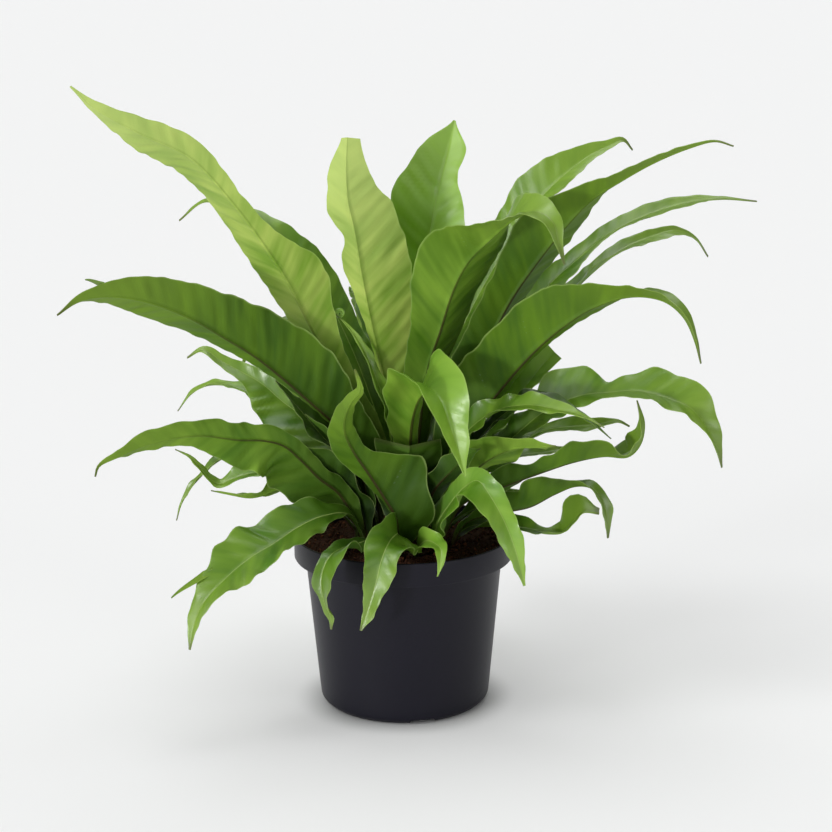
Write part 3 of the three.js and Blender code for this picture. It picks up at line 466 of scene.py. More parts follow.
    Frond(47, "back_low", foot=(32, 104), heading=104, roll=(0, 8, 20),
        rib=((45, 150), (80, 180), (125, 190), (170, 170), (200, 135), (215, 95)), width=42),
    Frond(48, "back_low", foot=(32, 80), heading=80, roll=(0, -10, 8),
        rib=((45, 150), (85, 178), (130, 180), (170, 155), (195, 115)), width=38),
    Frond(49, "back_low", foot=(32, 50), heading=50, roll=(0, 8, -14),
        rib=((45, 150), (80, 172), (118, 184), (148, 184), (168, 174)), width=36),
    Frond(50, "back_low", foot=(32, 132), heading=132, roll=(0, -8, 16),
        rib=((45, 148), (78, 168), (108, 180), (138, 180), (160, 170)), width=36),
]


def smooth(share):
    share = np.clip(share, 0, 1)
    return share * share * (3 - 2 * share)


def mix(a, b, share):
    return a + (b - a) * share


def hermite(t, a, b, slope_a, slope_b):
    """Cubic from a to b as t goes from 0 to 1."""
    cubic = 2 * a - 2 * b + slope_a + slope_b
    square = 3 * b - 3 * a - 2 * slope_a - slope_b
    return ((cubic * t + square) * t + slope_a) * t + a


def spline(values, shares):
    """Smooth curve through evenly spaced values, read at shares from 0 to 1."""
    values = np.asarray(values, float)
    if len(values) == 1:
        return np.full_like(shares, values[0])
    last = len(values) - 1
    place = shares * last
    first = np.minimum(place.astype(int), last - 1)
    before, a, b, after = (values[np.clip(first + step, 0, last)] for step in (-1, 0, 1, 2))
    return hermite(place - first, a, b, (b - before) / 2, (after - a) / 2)


def curve_through(points, samples):
    """Points of a smooth curve through the given ones, with this many samples a span."""
    padded = [2 * points[0] - points[1], *points, 2 * points[-1] - points[-2]]
    t = np.linspace(0, 1, samples, endpoint=False)[:, None]
    spans = []
    for before, a, b, after in zip(padded, padded[1:], padded[2:], padded[3:]):
        gap_in, gap, gap_out = (math.sqrt(np.linalg.norm(step)) for step in (a - before, b - a, after - b))
        slope_a = ((a - before) / gap_in - (b - before) / (gap_in + gap) + (b - a) / gap) * gap
        slope_b = ((b - a) / gap - (after - a) / (gap + gap_out) + (after - b) / gap_out) * gap
        spans.append(hermite(t, a, b, slope_a, slope_b))
    return np.concatenate([*spans, points[-1][None]])


def polar(radius, azimuth, height):
    angle = math.radians(azimuth)
    return np.array([radius * math.cos(angle), radius * math.sin(angle), height])


def unit(vectors):
    return vectors / np.maximum(np.linalg.norm(vectors, axis=-1, keepdims=True), 1e-9)


def ground_height(radius):
    """Height of the crown's dome, or of the soil round it."""
    if radius > CROWN_RADIUS:
        return SOIL_LEVEL
    return CROWN_EDGE + CROWN_RISE * (1 - (radius / CROWN_RADIUS) ** 2)


def rib_stations(frond):
    """Evenly spaced points of the rib, how far along the blade each is, and the run in millimetres."""
    out = polar(1, frond.heading, 0)
    drift = polar(1, frond.heading + 90, 0)
    foot_radius, foot_azimuth = frond.foot
    leaves = polar(foot_radius, foot_azimuth, ground_height(foot_radius))
    points = [leaves - (0, 0, ROOT_DEPTH), leaves]
    for reach, height, *aside in frond.rib:
        points.append(out * reach + drift * sum(aside) + (0, 0, height))
    samples = 40
    curve = curve_through(points, samples)
    runs = np.concatenate([[0], np.cumsum(np.linalg.norm(np.diff(curve, axis=0), axis=1))])
    blade_start = runs[samples]
    count = max(FEWEST_STATIONS, round((runs[-1] - blade_start) / STATION_STEP))
    along = np.concatenate([[0], np.linspace(0, 1, count)])
    run = np.concatenate([[0], np.linspace(blade_start, runs[-1], count)])
    centre = np.stack([np.interp(run, runs, curve[:, axis]) for axis in range(3)], axis=1)
    return centre, along, run - blade_start


def frames_along(centre, heading):
    """Side and up directions at each station, carried along the rib without twisting."""
    ahead = np.concatenate([centre[1:], centre[-1:]])
    behind = np.concatenate([centre[:1], centre[:-1]])
    tangents = unit(ahead - behind)
    side = np.cross(polar(1, heading, 0), (0, 0, 1))
    side = unit(side - tangents[0] * side.dot(tangents[0]))
    sides = [side]
    for index in range(1, len(centre)):
        step = unit(centre[index] - centre[index - 1])
        side = sides[-1] - 2 * step * step.dot(sides[-1])
        turned = tangents[index - 1] - 2 * step * step.dot(tangents[index - 1])
        turn = tangents[index] - turned
        if np.linalg.norm(turn) > 1e-6:
            turn = unit(turn)
            side = side - 2 * turn * turn.dot(side)
        sides.append(unit(side - tangents[index] * side.dot(tangents[index])))
    sides = np.array(sides)
    return sides, np.cross(sides, tangents)


def wander(run, rng, pitch, rise):
    """Slow irregular drift along a line, which keeps repeats from looking ruled."""
    total = 0
    for share in DRIFT_PITCHES:
        total = total + np.sin(2 * math.pi * (run / (pitch * share) + rng.random()))
    return rise * total / DRIFT_SCALE


def blade_surface(frond):
    """Middle surface of a blade with its pleats and ruffles, how far each face stands off it, and where each
    point lies: run along the rib, offset from the rib, share of the way to the margin and to the tip."""
    rng = np.random.default_rng(frond.number)
    centre, along, run = rib_stations(frond)
    side, up = frames_along(centre, frond.heading)
    left = np.maximum(spline(frond.left, along), LEAST_HALF_WIDTH)
    right = np.maximum(spline(frond.right, along), LEAST_HALF_WIDTH)
    widest = max(left.max(), right.max())
    roll = np.radians(spline(frond.roll, along))[:, None]
    cup = np.radians(spline(frond.cup, along))
    across = side * np.cos(roll) + up * np.sin(roll)
    above = up * np.cos(roll) - side * np.sin(roll)
    fade = smooth(along / FOOT_FADE) * smooth((1 - along) / TIP_FADE)
    rise, count, start, shift = frond.wave
    ruffle_share = RUFFLE_SHARE_HIGH if "high" in frond.name else 1
    crimp_rise = CRIMP_LOW if "low" in frond.name else CRIMP
    rib_half = mix(RIB_HALF_WIDTH, RIB_HALF_WIDTH_AT_TIP, along)
    rib_drop = mix(RIB_THICKNESS, RIB_THICKNESS_AT_TIP, along) - BLADE_THICKNESS
    zeros = np.zeros_like(run)
    rib_top = zeros + BLADE_THICKNESS / 2 + RIB_STAND
    columns = []
    for sign, half in ((-1, left), (1, right)):
        rib_here = np.minimum(rib_half, half * MOST_RIB_SHARE)
        offsets = [rib_here * share for share in RIB_SHARES]
        offsets += [mix(rib_here, half, share) for share in BLADE_SHARES]
        pleat_drift = wander(run, rng, *PLEAT_DRIFT)
        pleat_depth = 1 + wander(run, rng, *PLEAT_DEPTH_DRIFT)
        ruffle_drift = wander(run, rng, *RUFFLE_DRIFT)
        ruffle_line = ruffle_share * fade * np.sin(2 * math.pi * run / RUFFLE_PITCH + ruffle_drift)
        crimp_line = crimp_rise * fade * wander(run, rng, CRIMP_PITCH, 1)
        phase = 2 * math.pi * (count * along + start + shift * sign / 2)
        lobes = LOBING * fade * np.sin(phase + LOBE_LEAD)
        room = np.clip(half / widest, LEAST_ROOM, 1)
        for offset in offsets[::sign]:
            row = offset / half
            ripple = ruffle_line * row ** RUFFLE_POWER
            reach = offset * (1 + lobes + SCALLOP * np.roll(ripple, MARGIN_LAG))
            reach += crimp_line * row ** CRIMP_POWER
            strength = fade * smooth((offset - rib_here) / PLEAT_START)
            strength *= 1 - PLEAT_EASE * smooth((row - PLEAT_EASE_START) / (1 - PLEAT_EASE_START))
            strength *= np.clip(half / PLEATED_HALF_WIDTH, 0, 1)
            crest = (run - PLEAT_SLANT * offset) / PLEAT_PITCH
            stand = rise * fade * row ** WAVE_POWER * np.sin(phase) * room
            stand += RUFFLE_RISE * room * ripple
            stand += np.roll(crimp_line, MARGIN_LAG) * row ** CRIMP_POWER
            stand += PLEAT_RISE * pleat_depth * strength * np.sin(2 * math.pi * crest + pleat_drift)
            points = centre + across * (sign * reach * np.cos(cup))[:, None]
            points = points + above * (reach * np.sin(cup) + stand)[:, None]
            rib_part = np.sqrt(np.clip(1 - (offset / (rib_here * 1.001)) ** 2, 0, 1))
            thinning = smooth((row - MARGIN_START) / (1 - MARGIN_START))
            half_thick = mix(BLADE_THICKNESS, MARGIN_THICKNESS, thinning) / 2
            stands = (half_thick + RIB_STAND * rib_part, half_thick + rib_drop * rib_part)
            columns.append((points, *stands, run, sign * offset, row, along))
        if sign < 0:
            columns.append((centre, rib_top, BLADE_THICKNESS / 2 + rib_drop, run, zeros, zeros, along))
    middle, rise, drop, *places = (np.stack(values, axis=1) for values in zip(*columns))
    return middle, rise, drop, dict(zip(("run", "offset", "row", "along"), places))


def sheet_faces(rows, columns):
    """Quads of a closed sheet: upper face first, then the lower, then the rim."""
    index = np.arange(rows * columns).reshape(rows, columns)
    under = rows * columns
    a, b, c, d = index[:-1, :-1], index[:-1, 1:], index[1:, 1:], index[1:, :-1]
    upper = np.stack([a, b, c, d], axis=-1).reshape(-1, 4)
    lower = upper[:, ::-1] + under
    rim = []
    for edge, flip in ((index[:, 0], True), (index[:, -1], False), (index[0], False), (index[-1], True)):
        quad = np.stack([edge[1:], edge[:-1], edge[:-1] + under, edge[1:] + under], axis=-1)
        rim.append(quad[:, ::-1] if flip else quad)
    return np.concatenate([upper, lower, *rim]).tolist()


def make_mesh(name, points, faces, places=None):
    """Mesh object from points in millimetres, with a float attribute for each entry of places."""
    mesh = bpy.data.meshes.new(name)
    mesh.from_pydata((np.asarray(points) * MM).tolist(), [], faces)
    for key, values in (places or {}).items():
        attribute = mesh.attributes.new(key, "FLOAT", "POINT")
        attribute.data.foreach_set("value", np.asarray(values, np.float32).ravel())
    mesh.shade_smooth()
    piece = bpy.data.objects.new(name, mesh)
    bpy.context.scene.collection.objects.link(piece)
    return piece


def ring_faces(count, sides):
    """Quads between rings of points, one ring after the other."""
    index = np.arange(count * sides).reshape(count, sides)
    around = np.roll(index, -1, axis=1)
    return np.stack([index[:-1], index[1:], around[1:], around[:-1]], axis=-1).reshape(-1, 4).tolist()


def sharpen_rim(mesh, rows, columns):
    """Marks the edges round both faces sharp, so that the rim's shading stays off the faces."""
    at_rim = np.ones((rows, columns), bool)
    at_rim[1:-1, 1:-1] = False
    at_rim = np.tile(at_rim.ravel(), 2)
    ends = np.zeros(len(mesh.edges) * 2, np.int32)
    mesh.edges.foreach_get("vertices", ends)
    ends = ends.reshape(-1, 2)
    under = ends >= rows * columns
    sharp = mesh.attributes.new("sharp_edge", "BOOLEAN", "EDGE")
    sharp.data.foreach_set("value", at_rim[ends].all(axis=1) & (under[:, 0] == under[:, 1]))


def make_leaf(name, upper, lower, places, materials):
    """Closed thin sheet between two faces of points, with a material for each face."""
    rows, columns = upper.shape[:2]
    points = np.concatenate([upper.reshape(-1, 3), lower.reshape(-1, 3)])
    leaf = make_mesh(name, points, sheet_faces(rows, columns),
                     {key: np.tile(values.ravel(), 2) for key, values in places.items()})
    sharpen_rim(leaf.data, rows, columns)
    for material in materials:
        leaf.data.materials.append(material)
    under = np.arange(len(leaf.data.polygons)) >= (rows - 1) * (columns - 1)
    leaf.data.polygons.foreach_set("material_index", under.astype(np.int32))
    return leaf


def make_frond(frond, materials):
    middle, rise, drop, places = blade_surface(frond)
    normals = unit(np.cross(np.gradient(middle, axis=1), np.gradient(middle, axis=0)))
    upper = middle + normals * rise[..., None]
    lower = middle - normals * drop[..., None]
    return make_leaf(frond.name.replace("frond", "leaf"), upper, lower, places, materials)


def same_places(run, offset, row, along):
    """Places of a small piece, whose run alone differs from point to point."""
    fixed = {"offset": offset, "row": row, "along": along}
    return {"run": run, **{key: np.full_like(run, value) for key, value in fixed.items()}}


def make_fork(frond, side, along, length, width, materials):
    """Small second tip that stands off a blade's margin: side -1 is the left margin, 1 the right."""
    middle = blade_surface(frond)[0]
    station = round(along * (len(middle) - 1))
    margin = middle[station, 0 if side < 0 else -1]
    rib = middle[:, middle.shape[1] // 2]
    forward = unit(rib[station + FORK_AIM] - rib[station - FORK_AIM])
    outward = unit(margin - rib[station])
    normal = unit(np.cross(outward, forward))
    shares = np.linspace(0, 1, FORK_STATIONS)
    run = shares * length * (1 + FORK_ROOT)
    spine = margin - outward * width * FORK_INSET - forward * length * FORK_ROOT
    spine = spine + np.outer(run, forward) + np.outer(smooth(shares) * width, outward)
    half = mix(width / 2, LEAST_HALF_WIDTH, shares ** FORK_TAPER) * smooth(shares / FORK_ROUNDING + 0.1)
    aside = np.outer(half, outward)
    rows = np.stack([spine - aside, spine, spine + aside], axis=1)
    rows[:, 1] -= normal * FORK_HOLLOW * width
    upper = rows + normal * MARGIN_THICKNESS / 2
    lower = rows - normal * MARGIN_THICKNESS / 2
    if side > 0:
        upper, lower = lower[:, ::-1], upper[:, ::-1]
    places = same_places(np.repeat(run, 3), offset=8, row=0.5, along=0.9)
    return make_leaf(f"leaf_{frond.number:02d}_fork", upper, lower, places, materials)


def make_coil(frond, materials):
    """Tip of a young frond that is still rolled up: a tapering round stem in a flat spiral."""
    tip = rib_stations(frond)[0][-1]
    turns = np.linspace(0, 1, COIL_STATIONS)
    angle = 2 * math.pi * COIL_TURNS * turns
    radius = mix(COIL_RADIUS, COIL_RADIUS_AT_END, turns)
    thick = mix(COIL_STEM_RADIUS, COIL_STEM_RADIUS_AT_END, turns)
    out = polar(1, frond.heading, 0)
    up = np.array([0, 0, 1.0])
    across = np.cross(up, out)
    centre = tip - out * COIL_RADIUS
    spine = centre + np.outer(radius * np.cos(angle), out) + np.outer(radius * np.sin(angle), up)
    ring = np.linspace(0, 2 * math.pi, COIL_SIDES, endpoint=False)
    points = []
    for point, stem_radius in zip(spine, thick):
        circle = np.outer(np.cos(ring), unit(point - centre)) + np.outer(np.sin(ring), across)
        points.append(point + stem_radius * circle)
    faces = [[a, d, c, b] for a, b, c, d in ring_faces(COIL_STATIONS, COIL_SIDES)]
    faces.append(list(range(COIL_SIDES))[::-1])
    faces.append([(COIL_STATIONS - 1) * COIL_SIDES + side for side in range(COIL_SIDES)])
    places = same_places(np.repeat(turns * COIL_LENGTH, COIL_SIDES), offset=6, row=0.5, along=0.8)
    coil = make_mesh("crozier_coil", np.concatenate(points), faces, places)
    coil.data.materials.append(materials[0])
    return coil


def srgb(code):
    """Linear colour with alpha from a hex code such as 4f8a2a."""
    values = [int(code[k:k + 2], 16) / 255 for k in (0, 2, 4)]
    return tuple(v / 12.92 if v < 0.04045 else ((v + 0.055) / 1.055) ** 2.4 for v in values) + (1,)


class Nodes:
    """Shader nodes of a material or a world. Each input of a node is a value, or a socket to link from."""

    def __init__(self, owner):
        owner.use_nodes = True
        self.owner = owner
        self.tree = owner.node_tree
        self.tree.nodes.clear()

    def add(self, kind, inputs, output=0, **settings):
        """Adds a node and gives the output of it that is used."""
        node = self.tree.nodes.new("ShaderNode" + kind)
        for key, value in settings.items():
            setattr(node, key, value)
        for key, value in inputs.items():
            if isinstance(value, bpy.types.NodeSocket):
                self.tree.links.new(value, node.inputs[key])
            else:
                node.inputs[key].default_value = value
        return node.outputs[output]

    def place(self, kind="Object"):
        return self.add("TexCoord", {}, kind)

    def attribute(self, name):
        return self.add("Attribute", {}, "Fac", attribute_name=name)

    def maths(self, operation, a, b=0.0):
        return self.add("Math", {0: a, 1: b}, operation=operation)

    def times(self, a, b):
        return self.maths("MULTIPLY", a, b)

    def plus(self, a, b):
        return self.maths("ADD", a, b)

    def noise(self, place, scale, detail):
        return self.add("TexNoise", {"Vector": place, "Scale": scale, "Detail": detail}, "Fac")

    def between(self, share, low, high):
        """Low where the share is 0, high where it is 1."""
        return self.add("MapRange", {"Value": share, "To Min": low, "To Max": high})

    def ramp(self, value, start, end, low=0.0, high=1.0):
        """Low up to the start, high from the end, smooth between. The start may be above the end."""
        return self.add("MapRange", {"Value": value, "From Min": start, "From Max": end, "To Min": low,
                                     "To Max": high}, interpolation_type="SMOOTHSTEP")

    def blend(self, share, a, b):
        """Mix of two colours, each a hex code or a socket."""
        a, b = (srgb(colour) if isinstance(colour, str) else colour for colour in (a, b))
        return self.add("Mix", {0: share, 6: a, 7: b}, 2, data_type="RGBA")

    def surface(self, colour, roughness, specular, height, strength, distance):
        """Plain glossy surface, with a bump from the height."""
        bump = self.add("Bump", {"Height": height, "Strength": strength, "Distance": distance})
        return self.add("BsdfPrincipled", {"Base Color": colour, "Roughness": roughness, "Normal": bump,
                                           "Specular IOR Level": specular})

    def finish(self, shader, kind="Material"):
        output = self.tree.nodes.new("ShaderNodeOutput" + kind)
        self.tree.links.new(shader, output.inputs["Surface"])
        return self.owner


def new_material(name):
    return Nodes(bpy.data.materials.new(name))


def leaf_material(name, deep, light, tip, rib, rib_strength, rib_end, roughness, specular, light_through,
                  dry_tip):
    """One face of a leathery blade: pleated greens, fine veins that run out from the rib, the rib's own
    colour as far along as rib_end, a thin pale margin and a waxy gloss."""
    nodes = new_material(name)
    run, offset, row, along = (nodes.attribute(key) for key in ("run", "offset", "row", "along"))
    away = nodes.maths("ABSOLUTE", offset)
    crest = nodes.maths("SUBTRACT", run, nodes.times(away, PLEAT_SLANT))
    veins_place, blotch_place = (nodes.add("CombineXYZ", {"X": crest, "Y": nodes.times(offset, stretch)})
                                 for stretch in (0.08, 0.5))
    stripes = nodes.noise(veins_place, 0.16, 3.0)
    blotches = nodes.noise(blotch_place, 0.045, 2.0)
    fine_veins = nodes.noise(veins_place, 0.9, 2.0)
    grain = nodes.noise(nodes.place(), 900.0, 3.0)
    share = nodes.plus(nodes.times(stripes, 0.25), nodes.times(blotches, 0.75))
    green = nodes.blend(nodes.ramp(share, 0.32, 0.68), deep, light)
    from_rib = nodes.maths("DIVIDE", away, nodes.between(along, 0.9, 0.3))
    on_rib = nodes.times(nodes.ramp(from_rib, 1.2, 0.7), nodes.ramp(along, rib_end, rib_end - 0.4))
    # Where each colour lies over those before it, how strong it is there, and the colour.
    layers = (
        (nodes.ramp(along, 0.5, 1.0), 0.7, tip),
        # The next two layers darken the blade towards its foot: partly the real darker leaf base, partly
        # painted shade.
        (nodes.ramp(along, 0.55, 0.15), 0.7, deep),
        (nodes.ramp(along, 0.6, 0.15), 0.5, INMOST_GREEN_AND_PAINTED_SHADE),
        (on_rib, rib_strength, rib),
        (nodes.ramp(row, 0.955, 0.99), 0.3, MARGIN_GREEN),
        (nodes.ramp(along, 0.945, 1.0), dry_tip, DRY_TIP_BROWN),
        (nodes.ramp(along, 0.1, 0.02), 0.8, FOOT_BROWN),
    )
    for where, strength, colour in layers:
        green = nodes.blend(nodes.times(where, strength), green, colour)
    gloss = nodes.between(blotches, roughness - 0.1, roughness + 0.1)
    height = nodes.plus(nodes.times(fine_veins, 0.7), nodes.times(grain, 0.3))
    surface = nodes.surface(green, gloss, specular, height, 0.35, 0.0004)
    through = nodes.add("BsdfTranslucent", {"Color": nodes.blend(0.5, green, LIGHT_THROUGH_GREEN)})
    return nodes.finish(nodes.add("MixShader", {0: light_through, 1: surface, 2: through}))


def make_leaf_materials():
    """Upper and under material of each kind of frond."""
    pairs = {}
    for kind, (upper, under, tip, light_through, dry_tip, dark_rib_end) in GREENS.items():
        shared = dict(tip=tip, light_through=light_through, dry_tip=dry_tip)
        pairs[kind] = (
            leaf_material(f"leaf_{kind}_upper", *upper, rib="b6cc74", rib_strength=0.6, rib_end=1.4,
                          roughness=0.34, specular=0.8, **shared),
            leaf_material(f"leaf_{kind}_under", *under, rib="33200f", rib_strength=0.85,
                          rib_end=dark_rib_end, roughness=0.58, specular=0.22, **shared),
        )
    return pairs


def rounded(corners):
    """Points of a profile from the radius, height and fillet of its corners."""
    places = np.array(corners, float)[:, :2]
    t = np.linspace(0, 1, FILLET_STEPS + 1)[:, None]
    points = []
    for index, (*_, fillet) in enumerate(corners):
        corner = places[index]
        if fillet:
            start, end = (corner + unit(places[k] - corner) * fillet for k in (index - 1, index + 1))
            points.append((1 - t) ** 2 * start + 2 * t * (1 - t) * corner + t ** 2 * end)
        else:
            points.append(corner[None])
    return np.concatenate(points)


def lathe(profile, sides):
    """Points and faces of a closed turned shape whose profile starts and ends on the axis."""
    profile = np.array(profile, float)
    radii, heights = profile[1:-1].T
    angles = np.linspace(0, 2 * math.pi, sides, endpoint=False)
    turned = [np.outer(np.cos(angles), radii), np.outer(np.sin(angles), radii), np.tile(heights, (sides, 1))]
    ends = [[0, 0, profile[0, 1]], [0, 0, profile[-1, 1]]]
    points = np.concatenate([np.stack(turned, axis=-1).reshape(-1, 3), ends])
    count = len(radii)
    faces = []
    for side in range(sides):
        here, there = side * count, (side + 1) % sides * count
        for step in range(count - 1):
            faces.append([here + step, there + step, there + step + 1, here + step + 1])
        faces.append([sides * count, there, here])
        faces.append([sides * count + 1, here + count - 1, there + count - 1])
    return points, faces


def cut(piece, cutters):
    """Takes the cutters' shapes out of a piece and deletes them."""
    for cutter in cutters:
        step = piece.modifiers.new("cut", "BOOLEAN")
        step.operation = "DIFFERENCE"
        step.solver = "EXACT"
        step.object = cutter
    bpy.context.view_layer.update()
    evaluated = piece.evaluated_get(bpy.context.evaluated_depsgraph_get())
    mesh = bpy.data.meshes.new_from_object(evaluated)
    piece.modifiers.clear()
    piece.data = mesh
    for cutter in cutters:
        bpy.data.objects.remove(cutter)


def box_points(size, place, azimuth):
    """A box round a place, turned about the axis to an azimuth."""
    corners = np.array(list(itertools.product((-0.5, 0.5), repeat=3))) * size + place
    turn = np.array(Matrix.Rotation(math.radians(azimuth), 3, "Z"))
    faces = [[0, 1, 3, 2], [4, 6, 7, 5], [0, 4, 5, 1], [2, 3, 7, 6], [0, 2, 6, 4], [1, 5, 7, 3]]
    return corners @ turn.T, faces


def make_pot():
    rim_bottom = POT_HEIGHT - RIM_HEIGHT
    rim_inside = RIM_RADIUS - WALL
    wall_foot_inside = WALL_FOOT_RADIUS - WALL
    # Radius, height and fillet of each corner, from the pad out to the rim and back in to the floor.
    corners = [
        (0, 0, 0),
        (PAD_RADIUS, 0, 0),
        (PAD_RADIUS + RING_TAPER, FLOOR_HEIGHT, 0),
        (FOOT_RING_INNER_RADIUS - RING_TAPER, FLOOR_HEIGHT, 0),
        (FOOT_RING_INNER_RADIUS, 0, 0),
        (STAND_RADIUS, 0, 1.2),
        (STAND_RADIUS + HEEL_REACH, HEEL_TOP, 2.5),
        (WALL_FOOT_RADIUS, WALL_FOOT_HEIGHT, 3),
        (WALL_TOP_RADIUS, rim_bottom - RIM_BEVEL, 1.6),
        (RIM_RADIUS - RIM_BEVEL, rim_bottom + RIM_UNDERCUT, 0),
        (RIM_RADIUS, rim_bottom + 2 * RIM_BEVEL, 0),
        (RIM_RADIUS, POT_HEIGHT, 0.7),
        (rim_inside, POT_HEIGHT, 0.6),
        (rim_inside - RIM_INSIDE_TAPER, rim_bottom + RIM_INSIDE_FOOT, 1),
        (WALL_TOP_RADIUS - WALL, rim_bottom + LEDGE_HEIGHT, 0),
        (wall_foot_inside, WALL_FOOT_HEIGHT, 0),
        (wall_foot_inside - FLOOR_SLOPE, FLOOR_TOP, 0),
        (0, FLOOR_TOP, 0),
    ]
    pot = make_mesh("nursery_pot", *lathe(rounded(corners), POT_SIDES))
    cutters = []
    notch_size = (NOTCH_DEPTH, NOTCH_WIDTH, 2 * NOTCH_HEIGHT)
    notch_place = (STAND_RADIUS + NOTCH_OUTSET, 0, 0)
    for index in range(NOTCH_COUNT):
        azimuth = NOTCH_AZIMUTH + index * 360 / NOTCH_COUNT
        cutters.append(make_mesh(f"notch_{index}", *box_points(notch_size, notch_place, azimuth)))
    drain = [(0, 0), (DRAIN_RADIUS, 0), (DRAIN_RADIUS, 2 * FLOOR_HEIGHT), (0, 2 * FLOOR_HEIGHT)]
    points, faces = lathe(drain, DRAIN_SIDES)
    for index in range(DRAIN_COUNT):
        middle = polar(DRAIN_RING_RADIUS, (index + 0.5) * 360 / DRAIN_COUNT, 0)
        cutters.append(make_mesh(f"drain_{index}", points + middle, faces))
    cut(pot, cutters)
    pot.data.set_sharp_from_angle(angle=math.radians(POT_SHARP_ANGLE))
    pot.data.materials.append(pot_material())
    return pot


def pot_material():
    """Dark moulded plastic with a soft gloss, fine grain and faint handling marks."""
    nodes = new_material("pot_plastic")
    place = nodes.place()
    clouds = nodes.noise(place, 14.0, 4.0)
    grain = nodes.noise(place, 1500.0, 2.0)
    bands = nodes.noise(nodes.add("Mapping", {"Vector": place, "Scale": (6.0, 6.0, 260.0)}), 1.0, 2.0)
    colour = nodes.blend(clouds, "0f0e18", "15141f")
    height = nodes.plus(grain, nodes.times(bands, 0.5))
    return nodes.finish(nodes.surface(colour, nodes.between(clouds, 0.38, 0.46), 0.2, height, 0.25, 0.0003))


class Heap:
    """A mesh gathered bit by bit, where each bit has a tone of its own."""

    def __init__(self):
        self.points = []
        self.faces = []
        self.tones = []
        self.count = 0

    def add(self, points, faces, tone):
        self.points.append(points)
        self.faces += [[self.count + k for k in face] for face in faces]
        self.tones.append(np.full(len(points), tone))
        self.count += len(points)

    def piece(self, name, material):
        places = {"tone": np.concatenate(self.tones)}
        piece = make_mesh(name, np.concatenate(self.points), self.faces, places)
        piece.data.materials.append(material)
        return piece


def rings(radii, sides):
    """Radius, x and y of points in rings round the axis."""
    angles = np.linspace(0, 2 * math.pi, sides, endpoint=False)
    radius, angle = np.meshgrid(radii, angles, indexing="ij")
    return radius, radius * np.cos(angle), radius * np.sin(angle)


def roughness_field(x, y, rng, waves, rise, pitch):
    """Sum of random ripples over a plane."""
    total = np.zeros_like(x)
    for _ in range(waves):
        angle = rng.uniform(0, 2 * math.pi)
        length = pitch * rng.uniform(0.6, 1.6)
        phase = rng.uniform(0, 2 * math.pi)
        total += np.sin(2 * math.pi * (x * math.cos(angle) + y * math.sin(angle)) / length + phase)
    return rise * total / math.sqrt(waves)


def grain_shape():
    """Corners of a regular twenty-sided solid of radius 1, and its triangles: every three corners that lie
    nearest each other."""
    ratio = (1 + math.sqrt(5)) / 2
    corners = np.array([[0, one, long] for one in (-1, 1) for long in (-ratio, ratio)])
    corners = unit(np.concatenate([corners, corners[:, [2, 0, 1]], corners[:, [1, 2, 0]]]))
    near = np.linalg.norm(corners[:, None] - corners[None], axis=2) < 1.2
    faces = []
    for a, b, c in itertools.combinations(range(len(corners)), 3):
        if near[a, b] and near[b, c] and near[a, c]:
            outward = np.cross(corners[b] - corners[a], corners[c] - corners[a]) @ corners[a] > 0
            faces.append([a, b, c] if outward else [a, c, b])
    return corners, faces


def one_grain(corners, rng, size):
    """Corners of one irregular grain."""
    corners = corners * rng.uniform(*GRAIN_CORNER_REACH, (len(corners), 1))
    corners = corners * rng.uniform(*GRAIN_FLATNESS, 3) * size / 2
    turn = np.array(Matrix.Rotation(rng.uniform(0, 2 * math.pi), 3, unit(rng.normal(size=3)).tolist()))
    return corners @ turn.T


def soil_fall(radius):
    """How much lower the soil lies near the pot's wall."""
    return SOIL_FALL * smooth((radius - (SOIL_RADIUS - SOIL_EDGE)) / SOIL_EDGE)


def make_soil():
    rng = np.random.default_rng(SOIL_SEED)
    heap = Heap()
    under_crown = np.linspace(0, CROWN_RADIUS - CROWN_OVERLAP, SOIL_RINGS_UNDER_CROWN)
    round_crown = np.linspace(CROWN_RADIUS, SOIL_RADIUS + SOIL_OVERLAP, SOIL_RINGS)
    radius, x, y = rings(np.concatenate([under_crown, round_crown]), SOIL_SIDES)
    height = SOIL_LEVEL - SOIL_SINK - soil_fall(radius)
    for ripples in SOIL_RIPPLES:
        height = height + roughness_field(x, y, rng, *ripples)
    height = np.where(radius < CROWN_RADIUS - CROWN_OVERLAP, SOIL_LEVEL - SOIL_UNDER_CROWN, height)
    heap.add(np.stack([x, y, height], axis=-1).reshape(-1, 3), ring_faces(*radius.shape), SOIL_TONE)
    shape, triangles = grain_shape()
    for _ in range(GRAIN_COUNT):
        size = GRAIN_SIZE + GRAIN_EXTRA_SIZE * rng.random() ** 3
        far = math.sqrt(rng.uniform(CROWN_RADIUS ** 2, (SOIL_RADIUS - GRAIN_WALL_GAP) ** 2))
        height = SOIL_LEVEL - GRAIN_SINK - soil_fall(far) + size * GRAIN_LIFT
        middle = polar(far, rng.uniform(0, 360), height)
        heap.add(one_grain(shape, rng, size) + middle, triangles, rng.random())
    soil = heap.piece("potting_soil", soil_material())
    soil.data.set_sharp_from_angle(angle=math.radians(GRAIN_SHARP_ANGLE))
    return soil


